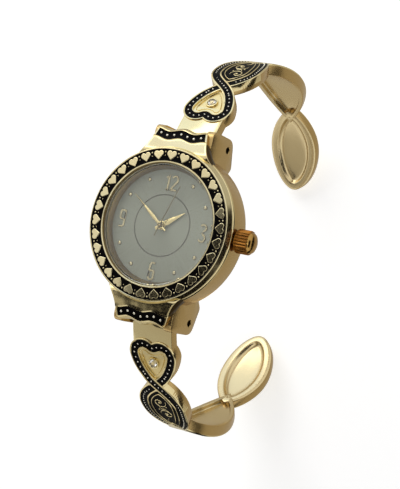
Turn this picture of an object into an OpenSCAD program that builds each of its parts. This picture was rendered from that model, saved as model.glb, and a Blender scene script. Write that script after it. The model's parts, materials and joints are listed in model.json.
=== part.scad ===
// Bangle watch: a round head between two hinged, sprung arms that close round a wrist.
// Frame: origin at the centre of the case back's outer face, +Z out of the dial,
// +X to 3 o'clock and the crown, +Y to 12 o'clock. Millimetres.

/* [Case] */
// Diameter of the case wall
case_d = 25.2; // [24.6:0.1:27]
// Height of the head, from the case back's outer face to the bezel's top
head_h = 7.4; // [7.2:0.1:8.6]
// Thickness of the case wall round the movement's cavity
case_wall_t = 2.4; // [2:0.1:2.8]
// Thickness of the case back plate
back_t = 1.1; // [0.9:0.1:1.3]
// Depth of the dial's face below the bezel's top
dial_depth = 2.3; // [2.2:0.1:2.6]

/* [Bezel] */
// Height of the bezel ring
bezel_h = 1.4; // [1.3:0.1:1.6]
// Width of the metal rim outside the enamel ring
bezel_rim = 0.58; // [0.4:0.02:0.8]
// Width of the enamel ring
enamel_w = 1.9; // [1.8:0.05:2.2]
// Number of raised hearts round the bezel
heart_count = 30; // [20:1:36]
// Width of one raised heart
heart_w = 1.7; // [1.2:0.1:1.8]
// Depth of the enamel in its channels
enamel_t = 0.35; // [0.2:0.05:0.45]

/* [Dial and crystal] */
// Thickness of the seal round the crystal
glass_seal_t = 0.15; // [0.1:0.05:0.3]
// Thickness of the crystal
crystal_t = 1; // [0.8:0.1:1.05]
// Thickness of the dial
dial_t = 0.4; // [0.3:0.05:0.5]
// Height of the numerals
numeral_h = 2.7; // [2:0.1:3]
// Gap between the numerals and the flange
numeral_gap = 0.3; // [0.1:0.05:0.8]
// Gap between the hour dots and the flange
dot_gap = 0.75; // [0.3:0.05:1.2]
// Gap between the circle engraved in the dial and the numerals
engraved_gap = 1.05; // [0.6:0.05:1.5]

/* [Hands] */
// Length of the hour hand from its axis
hour_len = 4.5; // [3.5:0.1:6]
// Length of the minute hand from its axis
minute_len = 7.2; // [6:0.1:8]
// Length of the second hand from its axis
second_len = 6.8; // [6:0.1:8]
// Hour shown at rest
show_hour = 1; // [0:1:11]
// Minute shown at rest
show_minute = 51; // [0:1:59]
// Second shown at rest
show_second = 3; // [0:1:59]

/* [Crown] */
// Diameter of the crown over its flutes
crown_d = 3.8; // [3.4:0.1:4.2]
// Length of the crown's fluted barrel
crown_l = 2.3; // [2:0.1:3]
// Number of flutes
flute_count = 24; // [16:1:32]
// Diameter of the stem
stem_d = 0.7; // [0.6:0.05:0.8]
// How far the crown pulls out
crown_pull = 1; // [0.6:0.1:1.2]

/* [Hinges] */
// Distance of each hinge pin from the case wall
hinge_out = 1.5; // [1.4:0.1:1.8]
// Height of the hinge pins above the case back's outer face
pin_z = -0.6; // [-1:0.1:-0.4]
// Diameter of the hinge pins
pin_d = 1.2; // [1:0.05:1.4]
// Width over the outer faces of two cheeks
cheeks_w = 10.6; // [10.4:0.1:11.2]
// Thickness of a cheek
cheek_t = 1.45; // [1.2:0.05:1.5]
// Distance of the hood's outer edge from the hinge pin
hood_out = 1.4; // [1.2:0.1:1.6]

/* [Arms] */
// Width of the closed bangle over both arms
bangle_w = 65.8; // [63:0.1:70]
// Height of the oval that the arms' outer faces follow
bangle_h = 51.2; // [49:0.1:54]
// Height of the arms' outer faces above the hinge pins
arm_rise = 3.1; // [2.9:0.1:3.3]
// Radius of the oval at its sides
side_r = 20.5; // [19:0.1:22]
// Thickness of the arms
arm_t = 2; // [1.8:0.1:2.4]
// Width of the flat neck at the hinge
neck_w = 7.2; // [6.6:0.1:7.3]
// Width of the heart link
heart_link_w = 8.7; // [8.4:0.1:9.4]
// Width of the leaf link
leaf_w = 8.6; // [8:0.1:9.6]
// Width of the plain oval link
plain_w = 8.8; // [8:0.1:9.6]
// Width of the end link
end_w = 9.2; // [8.6:0.1:10]
// Diameter of the round stone in each heart
stone_d = 1.5; // [1.2:0.1:1.7]

/* [Movement] */
// Diameter of the movement's main plate
movement_d = 17.2; // [16.9:0.1:18]
// Diameter of the button cell
cell_d = 5.8; // [5.4:0.1:6]
// Thickness of the button cell
cell_t = 2; // [1.6:0.1:2.1]
// Distance from the dial's axis to the third wheel's axis
third_dist = 2.4; // [2.35:0.05:2.5]
// Distance from the dial's axis to the step wheel's axis
step_dist = 2.45; // [2.45:0.05:2.6]
// Distance from the dial's axis to the minute wheel's axis
minute_dist = 2.8; // [2.6:0.1:3]

/* [Hidden] */
$fn = 96;

// Fits and small gaps
snug = 0.03;
run_gap = 0.04;
free_gap = 0.15;
eps = 0.01;

// Case
case_r = case_d / 2;
cavity_r = case_r - case_wall_t;
bezel_r = case_r - 0.12;
enamel_out_r = bezel_r - bezel_rim;
enamel_in_r = enamel_out_r - enamel_w;
bezel_z = head_h - bezel_h;
dial_z = head_h - dial_depth;
dial_bottom = dial_z - dial_t;
wall_edge = 0.35;
lip_w = 0.25;
bezel_bore_r = enamel_in_r - lip_w;
ledge_t = 0.25;
crystal_r = bezel_bore_r - glass_seal_t;
ledge_r = crystal_r - 0.2;
skirt_h = 0.5;
upper_bore_r = cavity_r - 0.2;
skirt_r = upper_bore_r - snug;
skirt_t = 0.27;
back_r = cavity_r + 1;
back_face_r = back_r - 1;
snap_t = 0.45;
snap_h = 0.9;
seal_h = 0.4;
seal_t = 0.25;

// Dial
hour_dot_r = 0.3;
dial_r = skirt_r - skirt_t - 0.1;
flange_r = dial_r + 0.05;
flange_in_r = ledge_r - 0.45;
numeral_r = flange_in_r - numeral_gap - numeral_h / 2;
dot_r = flange_in_r - dot_gap - hour_dot_r;
engraved_r = numeral_r - numeral_h / 2 - engraved_gap;
applied_t = 0.16;
stroke = 0.3;
dial_foot_l = 1;
dial_foot_in = 1.4;

// Hands: sizes, and heights above the dial
hour_w = 0.95;
hour_tail = 1.1;
hour_hub = 0.72;
minute_w = 0.7;
minute_tail = 1.3;
minute_hub = 0.55;
second_w = 0.26;
second_tail = 1.9;
second_hub = 0.34;
hand_t = 0.13;
hour_rise = 0.22;
hand_step = 0.27;
hour_z = dial_z + hour_rise;
minute_z = hour_z + hand_step;
second_z = minute_z + hand_step;
hour_angle = -30 * (show_hour + show_minute / 60);
minute_angle = -6 * show_minute;
second_angle = -6 * show_second;

// Arbors, one inside the other
seconds_arbor_r = 0.09;
minute_tube_r = 0.26;
hour_tube_r = 0.46;

// Movement levels
plate_t = 1.5;
plate_z = dial_bottom - plate_t;
recess_t = 0.55;
bridge_t = 0.35;
train_h = 1.15;
bridge_z = plate_z - train_h - bridge_t;
board_t = 0.18;
board_x = -3;
board_y = -4.3;
board_l = 11.1;
chip_x = 3.4;
chip_r = 1.1;
chip_t = 0.2;
clamp_t = 0.15;
movement_r = movement_d / 2;
wheel_t = 0.14;
cell_x = -(movement_r - cell_d / 2 - 0.5);
cell_z = back_t + clamp_t + 0.1;
screw_r = 0.3;
screw_spots = [[5.6, 4.6], [6.2, -3.6], [-2.3, 6.2]];
foot_angles = [120, 300];
foot_r = 0.3;

// Wheels: teeth, and where their axes stand
rotor_teeth = 8;
step_teeth = 60;
step_pinion_teeth = 8;
seconds_teeth = 32;
seconds_pinion_teeth = 8;
third_teeth = 60;
third_pinion_teeth = 8;
centre_teeth = 64;
cannon_teeth = 10;
minute_teeth = 30;
minute_pinion_teeth = 8;
hour_teeth = 32;
third_at = 60;
step_at = -50;
minute_at = 180;
rotor_dist = 2;
seconds_mod = 2 * step_dist / (seconds_teeth + step_pinion_teeth);
third_mod = 2 * third_dist / (third_teeth + seconds_pinion_teeth);
centre_mod = 2 * third_dist / (centre_teeth + third_pinion_teeth);
motion_mod = 2 * minute_dist / (minute_teeth + cannon_teeth);
rotor_mod = 2 * rotor_dist / (step_teeth + rotor_teeth);
seconds_wheel_z = plate_z - 1;
third_wheel_z = seconds_wheel_z + 0.24;
step_wheel_z = third_wheel_z + 0.26;
centre_wheel_z = step_wheel_z + 0.24;
motion_z = dial_bottom - recess_t + 0.05;
hour_wheel_z = motion_z + 0.22;
pivot_r = 0.12;
magnet_r = 0.55;
magnet_h = 0.4;

// Crown and stem
stem_r = stem_d / 2;
stem_z = head_h - 3.2;
stem_x = 5.6;
yoke_x = 6.3;
yoke_t = 0.3;
yoke_w = 1.8;
tube_t = 0.3;
tube_r = stem_r + run_gap + tube_t;
crown_r = crown_d / 2;
crown_x = case_r + 0.25;
crown_dome = 0.75;
flute_depth = 0.14;
tube_out = 0.75;

// Hinges
pin_y = case_r + hinge_out;
hood_y = pin_y + hood_out;
pin_r = pin_d / 2;
cheek_x = cheeks_w / 2;
cheek_in = cheek_x - cheek_t;
barrel_r = 1.35;
spring_w = 3.4;
spring_wire = 0.3;
spring_r = pin_r + 0.15 + spring_wire / 2;
cheek_end = pin_y + 1.9;
hood_t = 1.1;
hood_top = head_h - 0.8;
hood_fall = 0.9;
hood_root_w = 13.8;
hood_end_w = 9.3;
wave_amp = 0.22;
wave_pitch = 4.4;
strip_y = hood_y - 1.15;
strip_w = 1.25;
strip_l = 8.6;

// The arms' oval: two side arcs and two long arcs that meet them smoothly
oval_a = bangle_w / 2;
oval_b = bangle_h / 2;
long_r = (pow(oval_a - side_r, 2) + oval_b * oval_b - side_r * side_r) / (2 * (oval_b - side_r));
long_c = oval_b - long_r;
side_c = oval_a - side_r;
join_e = atan2(-long_c, side_c);
oval_drop = long_c + sqrt(long_r * long_r - pin_y * pin_y) - pin_z - arm_rise;

// Places along an arm, as path lengths from the heart's notch
heart_out = 4.9;
notch_y = pin_y + heart_out;
notch_e = acos(notch_y / long_r);
upper_run = (notch_e - join_e) * PI / 180 * long_r;
side_run = 2 * join_e * PI / 180 * side_r;
heart_lobe_s = 1.7;
heart_tip_s = 7.4;
stone_s = 3.2;
leaf_s = 12.8;
plain_s = 30.5;
end_s = 48;
leaf_back = 5.6;
leaf_front = 10;
plain_back = 12.5;
plain_front = 11.4;
end_back = 8.8;
end_front = 8.6;
end_back_blunt = 0.4;
end_front_blunt = 0.8;
rim = 1.45;
wall_t = 0.8;
border = 0.4;
band_w = 1.1;
line_w = 0.3;
line_gap = 0.5;
setting_r = stone_d / 2 + 0.3;
setting_h = 0.5;
floor_drop = 0.3;
neck_drop = 0.2;
side_steps = 9;
egg_steps = 11;
heart_mid = 3.7;
reach = 8;

// Direction, in degrees above the Y axis, of the arm's outward normal at path length s
function arm_e(s) =
    s < upper_run ? notch_e - s / long_r * 180 / PI
    : s < upper_run + side_run ? join_e - (s - upper_run) / side_r * 180 / PI
    : -join_e - (s - upper_run - side_run) / long_r * 180 / PI;

// Point [y, z] on the arm's outer face whose outward normal stands at e
function arm_point(e) =
    e > join_e ? [long_r * cos(e), long_c + long_r * sin(e) - oval_drop]
    : e > -join_e ? [side_c + side_r * cos(e), side_r * sin(e) - oval_drop]
    : [long_r * cos(e), -long_c + long_r * sin(e) - oval_drop];

// Radius of the arc that passes the ends of a pointed oval of half width h and half length l
function vesica_r(h, l) = (h * h + l * l) / (2 * h);

// Height of the hood's wavy centre line over x
function wave(x) = wave_amp * cos(360 * x / wave_pitch);

// Points on an arc about c from angle a to angle b
function arc_points(c, r, a, b, n) = [for (i = [0:n]) let (t = a + i * (b - a) / n) c + r * [cos(t), sin(t)]];

// The right side of an outline from one end to the other, closed by its mirror image
function both_sides(side) = concat(side, [for (i = [len(side) - 2:-1:1]) [-side[i][0], side[i][1]]]);

// Right side of a pointed oval: half width h, half lengths back and front, drawn in by inset
function oval_side(h, back, front, inset) =
    let (rb = vesica_r(h, back), rf = vesica_r(h, front),
         lower = arc_points([h - rb, 0], rb - inset, -acos((rb - h) / (rb - inset)), 0, side_steps),
         upper = arc_points([h - rf, 0], rf - inset, 0, acos((rf - h) / (rf - inset)), side_steps))
    concat(lower, [for (i = [1:side_steps]) upper[i]]);

// Right side of an egg-like oval: round_back and round_front say how blunt its ends are, from 0 to 1
function egg_side(h, back, front, round_back, round_front, inset) =
    [for (i = [-egg_steps:egg_steps])
        let (a = 90 * i / egg_steps, blunt = i < 0 ? round_back : round_front,
             x = (h - inset) * (blunt * cos(a) + (1 - blunt) * cos(a) * cos(a)))
        [abs(i) == egg_steps ? 0 : x, ((i < 0 ? back : front) - inset) * sin(a)]];

// Right side of a heart of width w from its notch to its point: a lobe, a long flank arc and a small tip
function heart_side(w, lobe_y, tip_y, tip_r, inset) =
    let (lobe_r = 0.315 * w, flank_r = 1.15 * w, c = [w / 2 - lobe_r, lobe_y], tip = [0, tip_y],
         d = norm(tip - c), u = (tip - c) / d, to_lobe = flank_r - lobe_r, to_tip = flank_r - tip_r,
         along = (d * d + to_lobe * to_lobe - to_tip * to_tip) / (2 * d),
         off = sqrt(to_lobe * to_lobe - along * along),
         f = c + along * u + off * [-u[1], u[0]],
         a_lobe = atan2(c[1] - f[1], c[0] - f[0]), a_tip = atan2(tip_y - f[1], -f[0]),
         r1 = lobe_r - inset, r2 = tip_r - inset, rf = flank_r - inset,
         a_end = r2 > 0.1 ? a_tip : acos(-f[0] / rf),
         notch = [0, lobe_y - sqrt(lobe_r * lobe_r - c[0] * c[0])], a_notch = acos(c[0] / lobe_r),
         dip = inset > 0.05 ? arc_points(notch, inset, 90, a_notch, 3) : [notch],
         lobe = arc_points(c, r1, a_notch - 180, a_lobe, 2 * side_steps),
         flank = arc_points(f, rf, a_lobe, a_end, side_steps),
         end = r2 > 0.1 ? arc_points(tip, r2, a_tip, 90, 4) : [[0, 0], [0, f[1] + rf * sin(a_end)]])
    concat([[0, dip[0][1]]], len(dip) > 1 ? [for (i = [1:len(dip) - 1]) dip[i]] : [],
           [for (i = [1:2 * side_steps]) lobe[i]], [for (i = [1:side_steps - 1]) flank[i]],
           r2 > 0.1 ? [flank[side_steps]] : [], [for (i = [1:len(end) - 1]) end[i]]);

// General shapes

// A closed ring of rectangular section
module ring(r_out, r_in, h) {
    difference() {
        cylinder(r = r_out, h = h);
        translate([0, 0, -eps]) cylinder(r = r_in, h = h + 2 * eps);
    }
}

// Two circles and the straight flanks that touch both
module tapered(c1, r1, c2, r2) {
    d = norm(c2 - c1);
    a = acos((r1 - r2) / d);
    turn = atan2(c2[1] - c1[1], c2[0] - c1[0]);
    translate(c1) circle(r1);
    translate(c2) circle(r2);
    translate(c1) rotate(turn)
        polygon([r1 * [cos(a), sin(a)], [d, 0] + r2 * [cos(a), sin(a)],
                 [d, 0] + r2 * [cos(a), -sin(a)], r1 * [cos(a), -sin(a)]]);
}

// Heart of width w with its notch near the origin and its point at +Y
module heart(w, lobe_y, tip_y, tip_r) {
    lobe_r = 0.276 * w;
    for (side = [-1, 1])
        tapered([side * (w / 2 - lobe_r), lobe_y], lobe_r, [0, tip_y], tip_r);
}

// Toothed wheel outline with its first tooth along +X
module teeth(count, modulus) {
    tip = modulus * (count + 1.7) / 2;
    root = modulus * (count - 2.4) / 2;
    step = 360 / count;
    polygon([for (i = [0:count - 1], k = [[-0.3, root], [-0.13, tip], [0.13, tip], [0.3, root]])
        k[1] * [cos((i + k[0]) * step), sin((i + k[0]) * step)]]);
}

// Turned so that a tooth points along the line to its mate
module tooth_at(angle) { rotate(angle) children(); }

// Turned so that a gap points back along the line from its mate
module gap_at(angle, count) { rotate(angle + 180 + 180 / count) children(); }

// Places its children at the third, step, minute or rotor axis
module at_axis(dist, angle) { translate([dist * cos(angle), dist * sin(angle), 0]) children(); }

// The same for the lower side, turned by half a turn round the dial's axis
module lower_side() { rotate(180) children(); }

// Case

module cheek_outline() {
    root_y = cavity_r - 0.7;
    corner = 0.7;
    low = pin_z - 1.5;
    high = hood_top - 1.5;
    polygon([[root_y, bezel_z - 0.8], [cheek_end - 1.5 * corner, high], [cheek_end - 0.6 * corner, high - 0.25 * corner],
             [cheek_end - 0.15 * corner, high - 0.8 * corner], [cheek_end, high - 1.6 * corner],
             [cheek_end, low + corner], [cheek_end - 0.3 * corner, low + 0.3 * corner],
             [cheek_end - corner, low], [case_r - 1.2, low - 1.2], [root_y, low + 0.4]]);
}

module cheek() {
    rotate([90, 0, 90]) linear_extrude(cheek_t) cheek_outline();
}

module hood_section() {
    root_y = cavity_r + 0.6;
    polygon([[root_y, bezel_z - 0.1], [case_r - 0.2, hood_top - 0.1], [hood_y - 0.5, hood_top - hood_fall],
             [hood_y, hood_top - hood_fall - 0.5], [hood_y + 0.1, hood_top - hood_fall - 1.7],
             [hood_y - 0.6, hood_top - hood_fall - 1.5], [hood_y - 0.9, hood_top - hood_fall - hood_t],
             [case_r - 0.4, hood_top - hood_t - 0.5], [root_y, bezel_z - hood_t - 0.6]]);
}

module hood_plan() {
    steps = 24;
    reach = hood_y + 0.1 - wave_amp;
    // Half widths at the case wall, where the flare ends, and beside the strip
    side = [[hood_root_w / 2, case_r - 2.4], [hood_root_w / 2 - 0.7, case_r - 0.9],
            [cheek_x, case_r + 0.2], [hood_end_w / 2 + 0.1, case_r + 1.5], [hood_end_w / 2, hood_y - 0.9]];
    lip_l = hood_end_w - 0.6;
    polygon(concat([for (i = [0:4]) [-side[i][0], side[i][1]]],
        [for (i = [0:steps]) let (x = -lip_l / 2 + i * lip_l / steps) [x, reach + wave(x)]],
        [for (i = [4:-1:0]) side[i]]));
}

// Wavy strip across the hood
module strip_plan() {
    steps = 24;
    half = strip_l / 2;
    polygon(concat(
        [for (i = [0:steps]) let (x = -half + i * strip_l / steps) [x, strip_y - strip_w / 2 + wave(x)]],
        [for (i = [0:steps]) let (x = half - i * strip_l / steps) [x, strip_y + strip_w / 2 + wave(x)]]));
}

// The layer of depth t under the hood's sloping top, cut to the strip's plan
module strip_layer(t, rise) {
    slope_y = case_r - 0.2;
    far_y = hood_y - 0.5;
    a = [slope_y, hood_top - 0.1];
    b = [far_y, hood_top - hood_fall];
    u = (b - a) / norm(b - a);
    n = [-u[1], u[0]];
    intersection() {
        translate([0, 0, pin_z]) linear_extrude(head_h) strip_plan();
        rotate([90, 0, 90]) translate([0, 0, -cheek_x]) linear_extrude(cheeks_w)
            polygon([a - 2 * u + rise * n, b + u + rise * n, b + u - t * n, a - 2 * u - t * n]);
    }
}

module stop_bar() {
    translate([-cheek_in - 0.2, back_r + 0.15, pin_z - 2.3]) cube([2 * cheek_in + 0.4, 1.05, 1.5]);
}

module lug() {
    difference() {
        union() {
            for (x = [-cheek_x, cheek_in]) translate([x, 0, 0]) cheek();
            intersection() {
                rotate([90, 0, 90]) translate([0, 0, -hood_root_w / 2]) linear_extrude(hood_root_w) hood_section();
                linear_extrude(head_h) hood_plan();
            }
            stop_bar();
        }
        strip_layer(enamel_t, 1);
        translate([-cheek_x - 1, pin_y, pin_z]) rotate([0, 90, 0]) cylinder(r = pin_r, h = cheeks_w + 2);
    }
}

module case_wall() {
    rotate_extrude()
        polygon([[cavity_r, back_t], [case_r - wall_edge, back_t], [case_r, back_t + wall_edge],
                 [case_r, bezel_z - wall_edge], [case_r - wall_edge, bezel_z], [upper_bore_r, bezel_z],
                 [upper_bore_r, dial_z], [cavity_r, dial_z]]);
}

module case_body() color([0.80, 0.71, 0.46]) {
    difference() {
        union() {
            case_wall();
            lug();
            lower_side() lug();
        }
        translate([0, 0, pin_z - 5]) cylinder(r = back_r + 0.1, h = 5 - pin_z + back_t);
        translate([0, 0, back_t - eps]) cylinder(r = cavity_r, h = dial_z - back_t + eps);
        translate([0, 0, dial_z - eps]) cylinder(r = upper_bore_r, h = head_h);
        translate([0, 0, bezel_z]) cylinder(r = case_r, h = bezel_h);
        translate([cavity_r - 1, 0, stem_z]) rotate([0, 90, 0]) cylinder(r = tube_r, h = case_r);
    }
}

// Bezel and its enamel

module heart_ring() {
    mid_r = (enamel_in_r + enamel_out_r) / 2;
    for (i = [0:heart_count - 1])
        rotate(-i * 360 / heart_count) translate([0, mid_r + 0.42 * heart_w])
            mirror([0, 1]) heart(heart_w, 0.27 * heart_w, 0.82 * heart_w, 0.05);
}

module bezel() color([0.83, 0.74, 0.50]) {
    floor_z = head_h - enamel_t;
    rotate_extrude()
        polygon([[ledge_r, bezel_z], [skirt_r - skirt_t, bezel_z], [skirt_r - skirt_t, bezel_z - skirt_h],
                 [skirt_r, bezel_z - skirt_h], [skirt_r, bezel_z], [bezel_r, bezel_z],
                 [bezel_r, bezel_z + 0.3], [enamel_out_r + lip_w, head_h], [enamel_out_r, head_h],
                 [enamel_out_r, floor_z], [enamel_in_r, floor_z], [enamel_in_r, head_h],
                 [bezel_bore_r, head_h], [bezel_bore_r, bezel_z + ledge_t], [ledge_r, bezel_z + ledge_t]]);
    translate([0, 0, floor_z - 0.1]) linear_extrude(enamel_t + 0.1) heart_ring();
}

module bezel_enamel() color([0.06, 0.05, 0.05]) {
    translate([0, 0, head_h - enamel_t]) linear_extrude(enamel_t - 0.05)
        difference() {
            circle(enamel_out_r);
            circle(enamel_in_r);
            heart_ring();
        }
}

module collar_enamel() color([0.06, 0.05, 0.05]) { strip_layer(enamel_t, -0.04); }
module upper_collar_enamel() { collar_enamel(); }
module lower_collar_enamel() { lower_side() collar_enamel(); }

// Crystal, dial and hands

crystal_z = bezel_z + ledge_t;

module crystal() color([0.85, 0.9, 0.92, 0.35]) {
    bevel = 0.15;
    rotate_extrude()
        polygon([[0, crystal_z], [crystal_r, crystal_z], [crystal_r, crystal_z + crystal_t - bevel],
                 [crystal_r - bevel, crystal_z + crystal_t], [0, crystal_z + crystal_t]]);
}

module crystal_gasket() color([0.85, 0.84, 0.78]) {
    translate([0, 0, crystal_z]) ring(bezel_bore_r, crystal_r, crystal_t - 0.15);
}

module dial_flange() color([0.55, 0.46, 0.25]) {
    rotate_extrude()
        polygon([[flange_in_r, dial_z], [flange_r, dial_z], [flange_r, bezel_z],
                 [flange_r - 0.3, bezel_z], [flange_in_r, dial_z + 0.1]]);
}

module dial() color([0.80, 0.81, 0.78]) {
    groove_w = 0.12;
    groove_t = 0.06;
    difference() {
        translate([0, 0, dial_bottom]) cylinder(r = dial_r, h = dial_t);
        translate([0, 0, dial_bottom - eps]) cylinder(r = hour_tube_r + free_gap, h = dial_t + 2 * eps);
        translate([0, 0, dial_z - groove_t])
            ring(engraved_r + groove_w / 2, engraved_r - groove_w / 2, groove_t + eps);
    }
    for (a = foot_angles) rotate(a) translate([movement_r - dial_foot_in, 0, dial_bottom - dial_foot_l])
        cylinder(r = foot_r, h = dial_foot_l + eps, $fn = 32);
}

// A straight stroke of a numeral from p to q
module bar(p, q) {
    d = norm(q - p);
    translate([p[0], p[1], 0]) rotate(atan2(q[1] - p[1], q[0] - p[0])) translate([0, -stroke / 2, 0])
        cube([d, stroke, applied_t]);
}

// Part of a round stroke about c, from angle a to angle b
module bow(c, a, b) {
    far = 2 * digit_r;
    mid = (a + b) / 2;
    translate([c[0], c[1], 0]) intersection() {
        ring(digit_r + stroke / 2, digit_r - stroke / 2, applied_t);
        for (turn = [(a + mid) / 2, (b + mid) / 2]) rotate(turn) linear_extrude(applied_t)
            polygon([[0, 0], far * [cos((b - a) / 4), -sin((b - a) / 4)], [far * 1.5, 0],
                     far * [cos((b - a) / 4), sin((b - a) / 4)]]);
    }
}

// The digits stand on the line y = 0 and are numeral_h tall
digit_r = 0.46;
top_y = numeral_h - digit_r - stroke / 2;
low_y = digit_r + stroke / 2;
module digit_one() {
    bar([0, 0], [0, numeral_h]);
    bar([-0.42, numeral_h - 0.42], [0.1, numeral_h - 0.1]);
}
module digit_two() {
    bow([0, top_y], -20, 180);
    bar([digit_r * cos(-20), top_y - digit_r * 0.3], [-digit_r, stroke * 0.6]);
    bar([-digit_r - stroke / 2, stroke / 2], [digit_r + stroke / 2, stroke / 2]);
}
module digit_three() {
    bow([0, top_y], -80, 160);
    bow([0, low_y], -160, 80);
    bar([-0.1, numeral_h / 2], [0.3, numeral_h / 2]);
    bar([digit_r, low_y], [0.14, numeral_h / 2 + 0.2]);
}
module digit_six() {
    translate([0, low_y, 0]) ring(digit_r + stroke / 2, digit_r - stroke / 2, applied_t);
    bar([-digit_r, low_y], [-digit_r, top_y]);
    bow([0, top_y], 30, 180);
}

module numeral(angle) {
    translate([numeral_r * sin(angle), numeral_r * cos(angle) - numeral_h / 2, 0]) children();
}

module dial_numerals() color([0.72, 0.62, 0.36]) translate([0, 0, dial_z]) {
    numeral(0) {
        translate([-0.62, 0, 0]) digit_one();
        translate([0.48, 0, 0]) digit_two();
    }
    numeral(90) digit_three();
    numeral(180) digit_six();
    numeral(270) translate([0, numeral_h, 0]) rotate(180) digit_six();
}

module dial_dots() color([0.75, 0.68, 0.45]) {
    for (h = [1, 2, 4, 5, 7, 8, 10, 11])
        rotate(-30 * h) translate([0, dot_r, dial_z]) cylinder(r = hour_dot_r, h = applied_t, $fn = 32);
}

// A hand's blade of thickness hand_t with a short tail and a round hub, bored to fit its arbor
module hand(len, w, tail, hub, bore) {
    belly = 0.26 * len;
    difference() {
        union() {
            linear_extrude(hand_t)
                polygon([[0, len], [w / 2, belly], [0.25 * w, 0], [0.2 * w, -tail], [-0.2 * w, -tail],
                         [-0.25 * w, 0], [-w / 2, belly]]);
            cylinder(r = hub, h = hand_t);
        }
        translate([0, 0, -eps]) cylinder(r = bore, h = hand_t + 2 * eps);
    }
}

module hour_hand() color([0.78, 0.66, 0.36]) {
    translate([0, 0, hour_z]) rotate(hour_angle) hand(hour_len, hour_w, hour_tail, hour_hub, hour_tube_r);
}

module minute_hand() color([0.82, 0.70, 0.40]) {
    translate([0, 0, minute_z]) rotate(minute_angle)
        hand(minute_len, minute_w, minute_tail, minute_hub, minute_tube_r);
}

module second_hand() color([0.74, 0.64, 0.38]) {
    translate([0, 0, second_z]) rotate(second_angle)
        hand(second_len, second_w, second_tail, second_hub, seconds_arbor_r);
}

// Case back

module case_back() color([0.78, 0.77, 0.74]) {
    rotate_extrude()
        polygon([[0, 0], [back_face_r, 0], [back_r, 0.6 * back_t], [back_r, back_t],
                 [cavity_r - seal_t, back_t], [cavity_r - seal_t, back_t + seal_h],
                 [cavity_r - snug, back_t + seal_h], [cavity_r - snug, back_t + snap_h],
                 [cavity_r - snap_t, back_t + snap_h], [cavity_r - snap_t, back_t], [0, back_t]]);
}

module case_back_gasket() color([0.12, 0.12, 0.12]) {
    translate([0, 0, back_t]) ring(cavity_r, cavity_r - seal_t, seal_h);
}

// Movement

module movement_holder() color([0.9, 0.9, 0.86]) {
    z0 = back_t + snap_h;
    difference() {
        translate([0, 0, z0]) ring(cavity_r - 0.05, movement_r + 0.05, dial_bottom - z0);
        translate([0, 0, stem_z]) rotate([0, 90, 0]) cylinder(r = tube_r + 0.1, h = case_r);
    }
}

// Room for the battery: a round pocket seen from the case back
module cell_pocket(z0, h) { translate([cell_x, 0, z0]) cylinder(r = cell_d / 2 + 0.08, h = h); }

module main_plate() color([0.82, 0.72, 0.42]) {
    difference() {
        translate([0, 0, plate_z]) cylinder(r = movement_r, h = plate_t);
        // Room for the wheels under the dial
        translate([0, 0, dial_bottom - recess_t]) {
            cylinder(r = motion_mod * (hour_teeth + 2) / 2 + 0.2, h = recess_t + eps);
            at_axis(minute_dist, minute_at) cylinder(r = motion_mod * (minute_teeth + 2) / 2 + 0.2, h = recess_t + eps);
        }
        translate([0, 0, plate_z - eps]) cylinder(r = minute_tube_r + run_gap, h = plate_t);
        at_axis(third_dist, third_at) translate([0, 0, plate_z - eps]) cylinder(r = pivot_r + snug, h = 0.4);
        at_axis(step_dist, step_at) translate([0, 0, plate_z - eps]) cylinder(r = pivot_r + snug, h = 0.4);
        at_axis(step_dist + rotor_dist, step_at) translate([0, 0, plate_z - eps]) cylinder(r = pivot_r + snug, h = 0.4);
        // Stem, and the slot that its yoke slides in
        translate([stem_x - 0.3, 0, stem_z]) rotate([0, 90, 0]) cylinder(r = stem_r + run_gap, h = movement_r);
        translate([yoke_x - yoke_t, -yoke_w / 2 - 0.1, plate_z - eps])
            cube([2 * yoke_t + crown_pull, yoke_w + 0.2, plate_t + 2 * eps]);
        if (cell_z + cell_t > plate_z) cell_pocket(plate_z - eps, cell_z + cell_t - plate_z + 0.05);
        for (p = screw_spots) translate([p[0], p[1], plate_z - eps]) cylinder(r = screw_r, h = 1);
        for (a = foot_angles) rotate(a) translate([movement_r - dial_foot_in, 0, dial_bottom - dial_foot_l - 0.1])
            cylinder(r = foot_r + snug, h = 1.2, $fn = 32);
    }
    // Post that the minute wheel turns on
    at_axis(minute_dist, minute_at) translate([0, 0, dial_bottom - recess_t - eps]) cylinder(r = pivot_r, h = recess_t - 0.08);
}

module train_bridge() color([0.76, 0.74, 0.68]) {
    difference() {
        union() {
            translate([0, 0, bridge_z]) intersection() {
                cylinder(r = movement_r - 0.3, h = bridge_t);
                translate([-3.2, -4.6, 0]) cube([movement_d, 11.6, bridge_t]);
            }
            for (p = screw_spots) translate([p[0], p[1], bridge_z]) cylinder(r = 0.65, h = plate_z - bridge_z);
        }
        cell_pocket(bridge_z - eps, bridge_t + 2 * eps);
        for (p = screw_spots) translate([p[0], p[1], bridge_z - eps])
            cylinder(r = screw_r + snug, h = plate_z - bridge_z + 2 * eps);
        translate([0, 0, bridge_z - eps]) cylinder(r = pivot_r + snug, h = 1);
        at_axis(third_dist, third_at) translate([0, 0, bridge_z - eps]) cylinder(r = pivot_r + snug, h = 1);
        at_axis(step_dist, step_at) translate([0, 0, bridge_z - eps]) cylinder(r = pivot_r + snug, h = 1);
        at_axis(step_dist + rotor_dist, step_at) translate([0, 0, bridge_z - eps]) cylinder(r = pivot_r + snug, h = 1);
    }
}

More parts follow.
